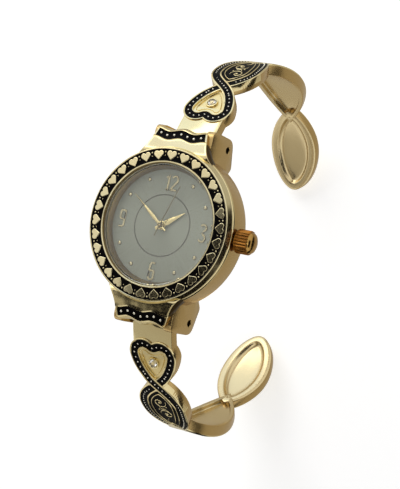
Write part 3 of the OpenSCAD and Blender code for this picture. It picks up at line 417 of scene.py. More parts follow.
# Pins: turned metal that no polish reaches, dark brown. The same dark brown is painted shade in the pin
# holes, on the cheeks' covered tops, in the hollows at the hoods' ends and in the stones' seats.
GOLD_PIN_AND_PAINTED_SHADE = SatinPlating("gold_turned_pin_and_painted_shade", "#4A3A20", roughness=0.4)
# Enamel of all channels: soft enamel, so near black without a gloss.
ENAMEL = SoftEnamel("enamel_black", "#040303", roughness=0.45, specular=0.035)
# Watch glass: flat mineral glass, seen only by what it mirrors.
GLASS = ClearGlass("mineral_glass", "#FFFFFF")
# Stones: cut crystal, which bends light more than the glass does and so sparkles.
STONE = ClearGlass("cut_crystal", "#F2F2F2", ior=1.77)
# Dial: silvered brass, brushed as a sunray, a greenish grey.
DIAL = SunrayDial("dial_silver_sunray", "#8F9381", roughness=0.46)
# Circle engraved in the dial: a fine groove in the brass, a darker line.
DIAL_LINE = Finish("dial_engraved_line", "#5C5B4C", metallic=0.3, roughness=0.5)
# Seal round the glass: nylon, coloured brown as a painted reflection of the metal about it.
NYLON = Finish("nylon_seal_painted_reflection", "#86744A", roughness=0.5)
# Case back: brushed stainless steel, a cool grey.
STEEL = SatinPlating("stainless_steel", "#C9C7C2", roughness=0.22, tooth_mm=0.2)
# Sheet parts of the movement: rolled steel, greyer and more matt.
STEEL_SATIN = SatinPlating("steel_sheet", "#B8B8B8", roughness=0.34, tooth_mm=0.15)
# Hinge springs: drawn wire, a darker blue-grey with fine streaks.
SPRING_STEEL = SatinPlating("spring_wire", "#8E8E92", roughness=0.28, tooth_mm=0.1)
# Gaskets: nitrile rubber, dull and nearly black.
RUBBER = Finish("nitrile_seal", "#141414", roughness=0.6)
# Movement holder: acetal, an off-white with a waxy sheen.
PLASTIC = Finish("acetal_holder", "#E4E3D8", roughness=0.45)
# Plates and wheels: bare brass with a turned grain, warm yellow.
BRASS = SatinPlating("movement_brass", "#D0AE62", roughness=0.28, tooth_mm=0.12)
# Circuit board: green solder mask, slightly glossy.
BOARD = Finish("board_solder_mask", "#14522C", roughness=0.35)
# Coil: copper wire of about 0.02 mm, drawn coarser so that its turns show as streaks.
COPPER = SatinPlating("copper_winding", "#B4693A", roughness=0.3, tooth_mm=0.06, stroke=(1.0, 0.1, 0.1))
# Rotor: a sintered magnet, dark grey and half metallic.
MAGNET = Finish("sintered_magnet", "#3A3A3C", metallic=0.8, roughness=0.5)

SLOT_FINISH: dict[str, Finish] = {
    "gold": GOLD,
    "enamel": ENAMEL,
    "crystal": GLASS,
    "seal_pale": NYLON,
    "flange_gold": GOLD_FLANGE,
    "dial_silver": DIAL,
    "applied_gold": GOLD_APPLIED,
    "steel": STEEL,
    "steel_satin": STEEL_SATIN,
    "seal_black": RUBBER,
    "holder_plastic": PLASTIC,
    "movement_brass": BRASS,
    "board": BOARD,
    "copper": COPPER,
    "pin_gold": GOLD_PIN_AND_PAINTED_SHADE,
    "spring_steel": SPRING_STEEL,
    "magnet": MAGNET,
    "hand_gold": GOLD_HAND,
    "crown_gold": GOLD_CROWN,
    "stone": STONE,
}


# Meshes


@dataclass
class Skin:
    """The points, faces and finish numbers of one piece while it is being made."""

    points: list[Vector] = field(default_factory=list)
    faces: list[tuple[int, ...]] = field(default_factory=list)
    marks: list[int] = field(default_factory=list)

    def ring(self, points: Sequence[Vector]) -> list[int]:
        """Adds points.

        Args:
            points: the points to add.

        Returns:
            Their numbers.
        """
        start = len(self.points)
        self.points.extend(Vector(p) for p in points)
        return list(range(start, len(self.points)))

    def face(self, corners: Sequence[int], mark: int = 0) -> None:
        """Adds one face, unless its corners fall together.

        Args:
            corners: the numbers of its points, in order.
            mark: the finish number.
        """
        if len(set(corners)) > 2:
            self.faces.append(tuple(corners))
            self.marks.append(mark)

    def bridge(self, a: Sequence[int], b: Sequence[int], mark: int = 0, closed: bool = True) -> None:
        """Joins two rows of equally many points with quads.

        Args:
            a: the numbers of one row's points.
            b: the numbers of the other row's points.
            mark: the finish number.
            closed: whether each row is a closed loop.
        """
        count = len(a)
        for i in range(count if closed else count - 1):
            j = (i + 1) % count
            self.face((a[i], a[j], b[j], b[i]), mark)

    def fill(self, ring: Sequence[int], flat: Sequence[Point2], mark: int = 0) -> None:
        """Fills a ring of any shape.

        Args:
            ring: the numbers of its points.
            flat: the same points laid out flat, which says how the ring is cut into triangles.
            mark: the finish number.
        """
        for corners in tessellate_polygon([[Vector((x, y, 0.0)) for x, y in flat]]):
            self.face([ring[i] for i in corners], mark)

    def loft(self, rings: Rows, marks: Marks = 0, closed: bool = True) -> list[list[int]]:
        """Joins rings in order.

        Args:
            rings: rows of equally many points.
            marks: one finish number, or one for each gap between rings.
            closed: whether each row is a closed loop.

        Returns:
            The numbers of the points, row by row.
        """
        rows = [self.ring(r) for r in rings]
        for i, (a, b) in enumerate(zip(rows, rows[1:])):
            self.bridge(a, b, marks if isinstance(marks, int) else marks[i], closed)
        return rows

    def tube(self, rings: Rows, marks: Marks = 0, closed: bool = True, ends: int = 0) -> None:
        """Joins rings in order and closes the first and the last with a face.

        Args:
            rings: rows of equally many points.
            marks: one finish number, or one for each gap between rings.
            closed: whether each row is a closed loop.
            ends: the finish number of both end faces.
        """
        rows = self.loft(rings, marks, closed)
        self.face(rows[0], ends)
        self.face(rows[-1], ends)

    def add(self, other: Skin, move: Matrix | None = None) -> None:
        """Adds a copy of another skin.

        Args:
            other: the skin to copy.
            move: its placing, or None to leave it where it is.
        """
        start = len(self.points)
        place = move or Matrix.Identity(4)
        self.points.extend(place @ p for p in other.points)
        self.faces.extend(tuple(i + start for i in f) for f in other.faces)
        self.marks.extend(other.marks)


def circle(radius: float, z: float, steps: int) -> Ring:
    """Even points on a level circle round the Z axis."""
    angles = [2 * math.pi * i / steps for i in range(steps)]
    return [Vector((radius * math.cos(a), radius * math.sin(a), z)) for a in angles]


def turned(profile: Sequence[Point2], steps: int = 192, marks: Marks = 0) -> Skin:
    """Turns a closed profile round the Z axis.

    Args:
        profile: its corners as (radius, height).
        steps: the number of steps round the axis.
        marks: one finish number, or one for the band after each corner.

    Returns:
        The turned skin.
    """
    skin = Skin()
    rows = [skin.ring(circle(r, z, steps)) for r, z in profile]
    for i, row in enumerate(rows):
        j = (i + 1) % len(rows)
        if profile[i][0] == 0 and profile[j][0] == 0:
            continue
        skin.bridge(row, rows[j], marks if isinstance(marks, int) else marks[i])
    return skin


def block(low: Point3, high: Point3, mark: int) -> Skin:
    """A square block.

    Args:
        low: its corner with the smallest x, y and z.
        high: its corner with the largest ones.
        mark: the finish number.

    Returns:
        The block's skin.
    """
    skin = Skin()
    corners = ((low[1], low[2]), (high[1], low[2]), (high[1], high[2]), (low[1], high[2]))
    skin.tube([[Vector((x, y, z)) for y, z in corners] for x in (low[0], high[0])], mark, ends=mark)
    return skin


def heading(path: Sequence[Sequence[float]], i: int) -> Vector:
    """The direction of a path at its i-th point, from the point before it to the one after."""
    before, after = path[max(i - 1, 0)], path[min(i + 1, len(path) - 1)]
    return Vector([b - a for a, b in zip(before, after)]).normalized()


def facing(way: Vector) -> Matrix:
    """The turn that takes +Z to a direction."""
    return way.to_track_quat("Z", "Y").to_matrix().to_4x4()


def dress(
    name: str,
    body: str,
    skin: Skin,
    finishes: Sequence[Finish],
    nodes: Sequence[str] = (),
    turn: Matrix | None = None,
    crease: float = 32.0,
    bevel: float = 0.0,
) -> bpy.types.Object:
    """Makes a piece from a skin, finishes it and hangs it on its body.

    Args:
        name: the piece's name.
        body: the body that it rides on.
        skin: its mesh, in millimetres.
        finishes: the finish of each mark number.
        nodes: the frame's nodes that it stands for.
        turn: a rotation in the row frame, such as the half turn to the lower side.
        crease: the angle in degrees above which an edge stays sharp.
        bevel: the width in millimetres that sharp edges are rounded by, or 0.

    Returns:
        The new object.
    """
    mesh = bpy.data.meshes.new(name)
    move = turn or Matrix.Identity(4)
    mesh.from_pydata([(move @ p) * MM for p in skin.points], [], skin.faces)
    for finish in finishes:
        mesh.materials.append(finish.material())
    mesh.polygons.foreach_set("material_index", skin.marks)
    work = bmesh.new()
    work.from_mesh(mesh)
    bmesh.ops.remove_doubles(work, verts=work.verts, dist=1e-7)
    bmesh.ops.recalc_face_normals(work, faces=work.faces)
    if bevel > 0:
        limit = math.radians(crease)
        sharp = [e for e in work.edges if len(e.link_faces) == 2 and e.calc_face_angle(0.0) > limit]
        bmesh.ops.bevel(
            work, geom=sharp, offset=bevel * MM, segments=3, profile=0.6, affect="EDGES", clamp_overlap=True
        )
    work.to_mesh(mesh)
    work.free()
    mesh.shade_smooth()
    mesh.set_sharp_from_angle(angle=math.radians(crease))
    piece = bpy.data.objects.new(name, mesh)
    bpy.context.scene.collection.objects.link(piece)
    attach(piece, body)
    if nodes:
        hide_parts(*nodes)
    LOG.info("%s: %d faces on %s", name, len(mesh.polygons), body)
    return piece


def arc(cx: float, cy: float, r: float, a: float, b: float, count: int) -> list[Point2]:
    """Points on an arc from angle a to angle b, in degrees, both ends included."""
    angles = [math.radians(a + (b - a) * i / count) for i in range(count + 1)]
    return [(cx + r * math.cos(t), cy + r * math.sin(t)) for t in angles]


def rounded(corners: Sequence[Point3], count: int = 5) -> list[Point2]:
    """Rounds the corners of a polygon.

    Args:
        corners: the polygon's corners in order, each with the length it gives up on both its edges.
        count: the number of points on each rounded corner, less one.

    Returns:
        The rounded outline.
    """
    out: list[Point2] = []
    total = len(corners)
    for i, (x, y, radius) in enumerate(corners):
        here = Vector((x, y))
        before, after = (Vector(corners[k % total][:2]) - here for k in (i - 1, i + 1))
        reach = min(radius, before.length * 0.45, after.length * 0.45)
        a, b = here + before.normalized() * reach, here + after.normalized() * reach
        for k in range(count + 1):
            t = k / count
            q = a * (1 - t) ** 2 + here * (2 * t * (1 - t)) + b * t * t
            out.append((q.x, q.y))
    return out


def mirror_side(side: Sequence[Point2]) -> list[Point2]:
    """Closes an outline's right side with its mirror image on the left."""
    return list(side) + [(-x, y) for x, y in reversed(side[1:-1])]


def dome(radius: float, height: float, rows: int = 4, steps: int = 14) -> Skin:
    """A small round bead that stands on the plane z = 0, sunk a little below it.

    Args:
        radius: its radius.
        height: how far it rises.
        rows: the number of rings above its foot.
        steps: the number of points round it.

    Returns:
        The bead's skin.
    """
    skin = Skin()
    rings = [circle(radius, -0.1, steps)]
    for t in (math.pi / 2 * j / rows for j in range(rows)):
        rings.append(circle(radius * math.cos(t), height * math.sin(t), steps))
    made = skin.loft(rings)
    skin.face(made[-1])
    return skin


def resample(path: Sequence[Point2], spacing: float, start: float = 0.0) -> list[tuple[Point2, float]]:
    """Even stations along a path.

    Args:
        path: the path's points.
        spacing: the distance between stations.
        start: the distance of the first station from the path's start.

    Returns:
        Each station's point, and the path's direction there in radians.
    """
    out: list[tuple[Point2, float]] = []
    wanted, run = start, 0.0
    for (x0, y0), (x1, y1) in zip(path, path[1:]):
        step = math.hypot(x1 - x0, y1 - y0)
        while step > 0 and run + step >= wanted:
            t = (wanted - run) / step
            out.append(((x0 + (x1 - x0) * t, y0 + (y1 - y0) * t), math.atan2(y1 - y0, x1 - x0)))
            wanted += spacing
        run += step
    return out


@dataclass(frozen=True)
class HeartOutline:
    """A heart drawn with arcs: two lobes, two flanks and a rounded point, its notch towards -Y."""

    width: float
    lobe_y: float
    tip_y: float
    tip_r: float
    lobe_share: float = 0.315
    flank_share: float = 1.15

    def side(self, inset: float, count: int = 26) -> list[Point2]:
        """The right side, with the same number of points for every inset.

        Args:
            inset: how far the outline is drawn in.
            count: the number of steps round the lobe.

        Returns:
            Points from the notch at x = 0 to the tip at x = 0.
        """
        lobe_r, flank_r = self.lobe_share * self.width, self.flank_share * self.width
        lobe = Vector((self.width / 2 - lobe_r, self.lobe_y))
        tip = Vector((0.0, self.tip_y))
        gap = (tip - lobe).length
        u = (tip - lobe) / gap
        to_lobe, to_tip = flank_r - lobe_r, flank_r - self.tip_r
        along = (gap * gap + to_lobe**2 - to_tip**2) / (2 * gap)
        off = math.sqrt(to_lobe**2 - along**2)
        middle = lobe + u * along + Vector((-u.y, u.x)) * off
        a_lobe = math.degrees(math.atan2(lobe.y - middle.y, lobe.x - middle.x))
        a_tip = math.degrees(math.atan2(self.tip_y - middle.y, -middle.x))
        r1, r2, rf = lobe_r - inset, self.tip_r - inset, flank_r - inset
        a_end = a_tip if r2 > 0.02 else math.degrees(math.acos(-middle.x / rf))
        a_notch = math.degrees(math.acos(lobe.x / lobe_r))
        notch_y = self.lobe_y - math.sqrt(lobe_r**2 - lobe.x**2)
        dip = arc(0.0, notch_y, inset, 90.0, a_notch, 4)
        round_lobe = arc(lobe.x, lobe.y, r1, a_notch - 180.0, a_lobe, count)
        flank = arc(middle.x, middle.y, rf, a_lobe, a_end, 10)
        point = arc(0.0, self.tip_y, r2, a_tip, 90.0, 5) if r2 > 0.02 else [flank[-1]] * 6
        out = dip + round_lobe[1:] + flank[1:] + point[1:]
        out[0], out[-1] = (0.0, out[0][1]), (0.0, out[-1][1])
        return out

    def whole(self, inset: float, count: int = 26) -> list[Point2]:
        """The whole outline."""
        return mirror_side(self.side(inset, count))


def egg_side(h: float, back: float, front: float, blunt: Point2, inset: float, count: int) -> list[Point2]:
    """Right side of an egg-like oval from its back tip to its front tip.

    Args:
        h: half its width.
        back: the length from its widest place back to its tip.
        front: the length from its widest place forward to its tip.
        blunt: how round the back and front ends are, from 0 to 1.
        inset: how far the outline is drawn in.
        count: the number of steps along each half.

    Returns:
        Points from the back tip to the front tip, both at x = 0.
    """
    out: list[Point2] = []
    for i in range(-count, count + 1):
        a = math.pi / 2 * i / count
        share, length = (blunt[0], back) if i < 0 else (blunt[1], front)
        x = (h - inset) * (share * math.cos(a) + (1 - share) * math.cos(a) ** 2)
        out.append((x, (length - inset) * math.sin(a)))
    out[0], out[-1] = (0.0, out[0][1]), (0.0, out[-1][1])
    return out


def oval_side(h: float, back: float, front: float, inset: float, count: int) -> list[Point2]:
    """Right side of a pointed oval from its back tip to its front tip.

    Args:
        h: half its width.
        back: the length from its widest place back to its tip.
        front: the length from its widest place forward to its tip.
        inset: how far the outline is drawn in.
        count: the number of steps along each half.

    Returns:
        Points from the back tip to the front tip, both at x = 0.
    """
    out: list[Point2] = []
    for length, sign in ((back, -1), (front, 1)):
        r = (h * h + length * length) / (2 * h)
        r1 = max(r - inset, r - h + 0.01)
        end = math.degrees(math.acos(min((r - h) / r1, 1.0)))
        if sign < 0:
            out += arc(h - r, 0.0, r1, -end, 0.0, count)
        else:
            out += arc(h - r, 0.0, r1, 0.0, end, count)[1:]
    out[0], out[-1] = (0.0, out[0][1]), (0.0, out[-1][1])
    return out


# The head


class CaseFace(IntEnum):
    """The kinds of face on the case, each with the number of its finish."""

    TOP = 0
    # side walls, in the darker colour of painted shade
    SIDE = 1
    # holes and hollows, painted dark brown as shade
    RECESS = 2
    BEAD = 3


@dataclass
class Case:
    """The round case wall with the cheeks and the hood of each hinge."""

    radius: float = 12.6
    cavity: float = 10.2
    back_t: float = 1.1
    top: float = 6.0
    cheek_out: float = 5.3
    cheek_in: float = 3.85
    hood_top: float = 6.6
    hood_y: float = 15.5
    strip_y: float = 14.35
    strip_w: float = 1.25
    strip_l: float = 8.6
    strip_t: float = 0.3
    bar_half: float = 4.05
    bar_y: Point2 = (11.35, 12.4)
    bar_z: Point2 = (-2.9, -1.4)
    fall: float = 0.308
    # how far out from the dial's axis, and half the hood's width there
    flare: tuple[Point2, ...] = (
        ((10.2, 6.9), (10.8, 6.4), (11.4, 5.9), (12.2, 5.42), (13.2, 4.97), (14.35, 4.62))
        + ((14.98, 4.46), (15.2, 4.3), (15.38, 4.0), (15.5, 3.6), (15.56, 3.2))
    )
    wave_amp: float = 0.22
    wave_pitch: float = 4.4
    bead_pitch: float = 1.2

    def wave(self, x: float) -> float:
        """How far the hood's wavy lines reach outward at x."""
        return self.wave_amp * math.cos(2 * math.pi * x / self.wave_pitch)

    def edge(self, y: float) -> float:
        """Half the hood's width at y, which flares out towards the case.

        Args:
            y: how far out from the dial's axis.

        Returns:
            Half the width there.
        """
        for (y0, w0), (y1, w1) in zip(self.flare, self.flare[1:]):
            if y < y1:
                return w0 + (w1 - w0) * (y - y0) / (y1 - y0)
        return self.flare[-1][1]

    def slope(self, y: float) -> float:
        """Height of the hood's top surface at y."""
        return self.hood_top - 0.1 - (y - 12.4) * self.fall

    def wall(self) -> Skin:
        """The turned case wall with its softened shoulders.

        Returns:
            The wall, its top polished and its side brushed, the side's darker colour being painted shade.
        """
        r, top, low, inner = self.radius, self.top, self.back_t, self.cavity
        profile = [
            (inner, low), (r - 0.5, low), (r - 0.22, low + 0.12), (r - 0.05, low + 0.35),
            (r, low + 0.8), (r, top - 0.45), (r - 0.04, top - 0.25), (r - 0.14, top - 0.08),
            (r - 0.3, top), (inner - 0.2, top), (inner - 0.2, top - 0.9), (inner, top - 0.9),
        ]
        return turned(profile, marks=[CaseFace.SIDE] * 5 + [CaseFace.TOP] * 4 + [CaseFace.SIDE] * 3)

    def cheek(self, low_x: float, high_x: float) -> Skin:
        """One cheek: a block with rounded corners and a blind hole in its outer face for the pin.

        Args:
            low_x: the x of its left face.
            high_x: the x of its right face.

        Returns:
            The cheek, its hole and its covered top marked for painted shade.
        """
        corners = [
            (9.6, 5.15, 0.2), (13.2, 5.13, 0.02), (16.0, 5.1, 1.4), (16.0, -2.05, 1.5),
            (11.4, -3.3, 0.4), (9.6, -1.75, 0.2),
        ]
        outline = [Vector(p) for p in rounded(corners)]
        hole_r, deep, lead = 0.6, 0.5, 0.06
        outer_x = high_x if abs(high_x) > abs(low_x) else low_x
        inner_x = low_x if outer_x == high_x else high_x
        sign = 1 if outer_x > inner_x else -1
        ease = 0.16
        middle = Vector((PIN_Y, PIN_Z))

        def around(radius: float) -> list[Point2]:
            """The hole's rim, one point for each point of the outline."""
            ways = [(p - middle).normalized() for p in outline]
            return [(middle.x + d.x * radius, middle.y + d.y * radius) for d in ways]

        def drawn_in(width: float) -> list[Point2]:
            """The outline drawn in towards the pin."""
            return [tuple(p - (p - middle).normalized() * width) for p in outline]

        def at(x: float, ring: Sequence[Point2]) -> Ring:
            """The ring as points at x."""
            return [Vector((x, p[0], p[1])) for p in ring]

        flat = [tuple(p) for p in outline]
        skin = Skin()
        rings = [
            at(outer_x - sign * deep, around(0.02)),
            at(outer_x - sign * deep, around(hole_r)),
            at(outer_x - sign * lead, around(hole_r)),
            at(outer_x, around(hole_r + lead)),
            at(outer_x, drawn_in(ease)),
            at(outer_x - sign * 0.05, drawn_in(0.05)),
            at(outer_x - sign * ease, flat),
            at(inner_x + sign * 0.08, flat),
            at(inner_x, drawn_in(0.08)),
            at(inner_x, around(0.02)),
        ]
        rows = skin.loft(rings, [CaseFace.RECESS] * 2 + [CaseFace.SIDE] * 7)
        skin.face(rows[0], CaseFace.RECESS)
        skin.face(rows[-1], CaseFace.SIDE)
        # the cheek's top, under the hood, is painted dark brown as shade
        for i, corners in enumerate(skin.faces):
            if all(skin.points[k].z > 5.0 and skin.points[k].y < 13.3 for k in corners):
                skin.marks[i] = CaseFace.RECESS
        return skin

    def hood(self) -> Skin:
        """The hood: a sloping roof over the hinge with a wavy strip let into it and a rolled lip.

        Returns:
            The hood, the hollow at each of its ends marked for painted shade.
        """
        inner = self.strip_y - self.strip_w / 2
        outer = self.strip_y + self.strip_w / 2
        lip = self.hood_y
        near, far, tip = self.slope(inner), self.slope(outer), self.slope(lip)
        # y, z and how far the wave applies, from the case over the roof and back underneath
        rows: list[Point3] = [
            (10.2, 5.6, 0),
            (10.45, 6.3, 0),
            (10.8, 6.55, 0),
            (11.2, 6.66, 0),
            (11.6, 6.68, 0),
            (12.0, 6.6, 0),
            (12.4, self.slope(12.4), 0),
            (12.75, self.slope(12.75), 0.15),
            (13.1, self.slope(13.1), 0.45),
            (inner - 0.25, self.slope(inner - 0.25), 1),
            (inner - 0.16, near + 0.07, 1),
            (inner - 0.06, near + 0.07, 1),
            (inner, near - 0.03, 1),
            (inner + 0.02, near, 1),
            (outer - 0.02, far, 1),
            (outer, far - 0.03, 1),
            (outer + 0.06, far + 0.06, 1),
            (outer + 0.16, far + 0.05, 1),
            (outer + 0.26, far - 0.08, 1),
            (lip - 0.12, tip - 0.2, 1),
            (lip - 0.01, tip - 0.45, 1),
            (lip + 0.05, tip - 1.0, 1),
            (lip, tip - 1.5, 1),
            (lip - 0.15, tip - 1.62, 1),
            (lip - 0.4, tip - 1.45, 1),
            (14.6, 4.5, 0.5),
            (13.5, 4.7, 0),
            (12.2, 4.9, 0),
            (10.9, 4.3, 0),
            (10.2, 4.6, 0),
        ]
        # the rows on the floor of the strip's channel
        channel = (13, 14)
        # the rows that bound the recess between each end and the cheek, which is painted dark brown as shade:
        # on the roof, and below it
        deep, low = 10, len(rows) - 4
        half = self.strip_l / 2 / self.edge(self.strip_y)
        columns = sorted(
            {-1.0, 1.0, -0.996, 0.996, -0.985, 0.985, -half - 0.004, half + 0.004}
            | {-half + 2 * half * i / 44 for i in range(45)}
        )
        skin = Skin()
        rings = []
        for u in columns:
            ring = []
            for k, (y, z, w) in enumerate(rows):
                drop = self.strip_t if k in channel and abs(u) <= half + 0.001 else 0.0
                round_off = 0.12 if abs(u) > 0.999 else 0.035 if abs(u) > 0.99 else 0.0
                pinch = 0.75 * smoothstep(0.3, 1.5, self.slope(y) - z) * smoothstep(14.0, 15.3, y)
                x = u * (self.edge(y) - pinch)
                shift = w * self.wave(x)
                ring.append(Vector((x, y + shift, z - shift * self.fall - drop - round_off * (z > 5))))
            rings.append(ring)
        made = skin.loft(rings)
        flat = [(y, z) for y, z, _ in rows]
        # the hollow at each end is painted dark brown as shade; the rest of the end is a side wall
        for end in (made[0], made[-1]):
            skin.fill(end[:deep] + end[low:], flat[:deep] + flat[low:], CaseFace.RECESS)
            skin.fill(end[deep - 1 : low + 1], flat[deep - 1 : low + 1], CaseFace.SIDE)
        return skin

    def strip(self) -> Skin:
        """The enamel of one hood, slightly hollow across, as its skin draws up to the metal.

        Returns:
            The strip's skin.
        """
        skin = Skin()
        half = self.strip_l / 2 - 0.01
        rows = []
        for v, sink in ((-0.5, -0.03), (-0.42, -0.07), (0.0, -0.09), (0.42, -0.07), (0.5, -0.03)):
            row = []
            for i in range(61):
                x = -half + 2 * half * i / 60
                y = self.strip_y + v * (self.strip_w - 0.02) + self.wave(x)
                row.append(Vector((x, y, self.slope(self.strip_y + v * self.strip_w + self.wave(x)) + sink)))
            rows.append(row)
        below = [[p - Vector((0, 0, 0.2)) for p in rows[0]], [p - Vector((0, 0, 0.2)) for p in rows[-1]]]
        skin.loft([below[0]] + rows + [below[1]], closed=False)
        return skin

    def beads(self) -> Skin:
        """The pale beads of the strip, one every bead_pitch.

        Returns:
            All of the strip's beads, marked as beads.
        """
        skin = Skin()
        bead = dome(0.22, 0.2)
        for i in range(7):
            x = (i - 3) * self.bead_pitch
            y = self.strip_y + self.wave(x)
            skin.add(bead, Matrix.Translation((x, y, self.slope(y) - 0.09)))
        skin.marks = [CaseFace.BEAD] * len(skin.faces)
        return skin

    def bar(self) -> Skin:
        """The square bar between the cheeks that the arm's heels stop against."""
        (y0, y1), (z0, z1) = self.bar_y, self.bar_z
        return block((-self.bar_half, y0, z0), (self.bar_half, y1, z1), CaseFace.SIDE)

    def build(self) -> None:
        """Makes the case with both hinges' housings, and the enamel of both hoods."""
        whole = self.wall()
        for side in Side:
            hinge = self.cheek(self.cheek_in, self.cheek_out)
            for piece in (self.cheek(-self.cheek_out, -self.cheek_in), self.hood(), self.beads(), self.bar()):
                hinge.add(piece)
            whole.add(hinge, side.turn)
            name, node = f"{side.label}_hood_enamel", f"{side.label}_collar_enamel"
            dress(name, "case", self.strip(), [ENAMEL], [node], side.turn)
        dress("case_with_hinges", "case", whole, [GOLD, GOLD_SIDE, GOLD_PIN_AND_PAINTED_SHADE, GOLD_BEAD], ["case_body"])


@dataclass
class Bezel:
    """The bezel ring, its channel of black enamel and the raised hearts that stand in it."""

    bottom: float = 6.0
    top: float = 7.4
    outer: float = 12.48
    enamel_out: float = 11.9
    enamel_in: float = 10.0
    bore: float = 9.75
    foot: float = 9.4
    depth: float = 0.35
    hearts: int = 30
    heart_w: float = 1.7
    lean: float = 4.0

    def ring(self) -> Skin:
        """The turned ring with its sloping wall, its channel and both lips.

        Returns:
            The ring's skin.
        """
        out, low, top, bore = self.outer, self.bottom, self.top, self.bore
        far, near, floor = self.enamel_out, self.enamel_in, self.top - self.depth
        profile = [
            (self.foot, low), (out - 0.1, low), (out, low + 0.08), (out, low + 0.26),
            (out - 0.025, low + 0.36), (out - 0.046, low + 0.42), (out - 0.294, top - 0.27),
            (out - 0.315, top - 0.21), (out - 0.36, top - 0.09), (out - 0.42, top - 0.01),
            (far + 0.11, top), (far + 0.05, top), (far, top - 0.05), (far, floor), (near, floor),
            (near, top - 0.05), (near - 0.05, top), (bore + 0.08, top), (bore, top - 0.07),
            (bore, low + 0.25), (self.foot, low + 0.25),
        ]
        return turned(profile, steps=256)

    def heart(self) -> Skin:
        """One raised heart in the XY plane with its notch outward at +Y and softened edges.

        Returns:
            The heart's skin, round the origin.
        """
        skin = Skin()
        w = self.heart_w

        def outline(inset: float, z: float) -> Ring:
            """The heart's outline, drawn in by inset, at height z."""
            return [Vector((x, 0.42 * w - y, z)) for x, y in heart.whole(inset, 12)]

        heart = HeartOutline(w, 0.27 * w, 0.82 * w, 0.07, 0.276, 12.0)
        steps = [(0.0, -0.3), (0.0, -0.04), (0.02, -0.005), (0.05, 0.014), (0.08, 0.02), (0.12, 0.02)]
        rows = skin.loft([outline(i, z) for i, z in steps])
        skin.fill(rows[-1], [(p.x, p.y) for p in outline(steps[-1][0], 0.0)])
        return skin

    def enamel(self) -> Skin:
        """The enamel's skin: a flat ring that draws up a little at both lips.

        Returns:
            The enamel's skin.
        """
        far, near, top = self.enamel_out, self.enamel_in, self.top
        profile = [
            (near, top - self.depth), (near, top - 0.05), (near + 0.1, top - 0.09),
            (near + 0.3, top - 0.1), (far - 0.3, top - 0.1), (far - 0.1, top - 0.09), (far, top - 0.05),
            (far, top - self.depth),
        ]
        return turned(profile, steps=256)

    def build(self) -> None:
        """Makes the bezel with its hearts, and its enamel."""
        whole = self.ring()
        heart = self.heart()
        middle = (self.enamel_in + self.enamel_out) / 2
        big, small = dome(0.14, 0.1), dome(0.09, 0.08)
        for i in range(self.hearts):
            turn = Matrix.Rotation(-2 * math.pi * i / self.hearts, 4, "Z")
            lean = Matrix.Rotation(math.radians(-self.lean + 0.8 * math.sin(2.3 * i)), 4, "X")
            whole.add(heart, turn @ Matrix.Translation((0, middle, self.top)) @ lean)
            half = Matrix.Rotation(-2 * math.pi * (i + 0.5) / self.hearts, 4, "Z")
            whole.add(big, half @ Matrix.Translation((0, middle + 0.45, self.top - 0.08)))
            whole.add(small, half @ Matrix.Translation((0, middle - 0.12, self.top - 0.08)))
        dress("heart_bezel", "case", whole, [GOLD_PALE], ["bezel"])
        dress("bezel_black_enamel", "case", self.enamel(), [ENAMEL], ["bezel_enamel"])


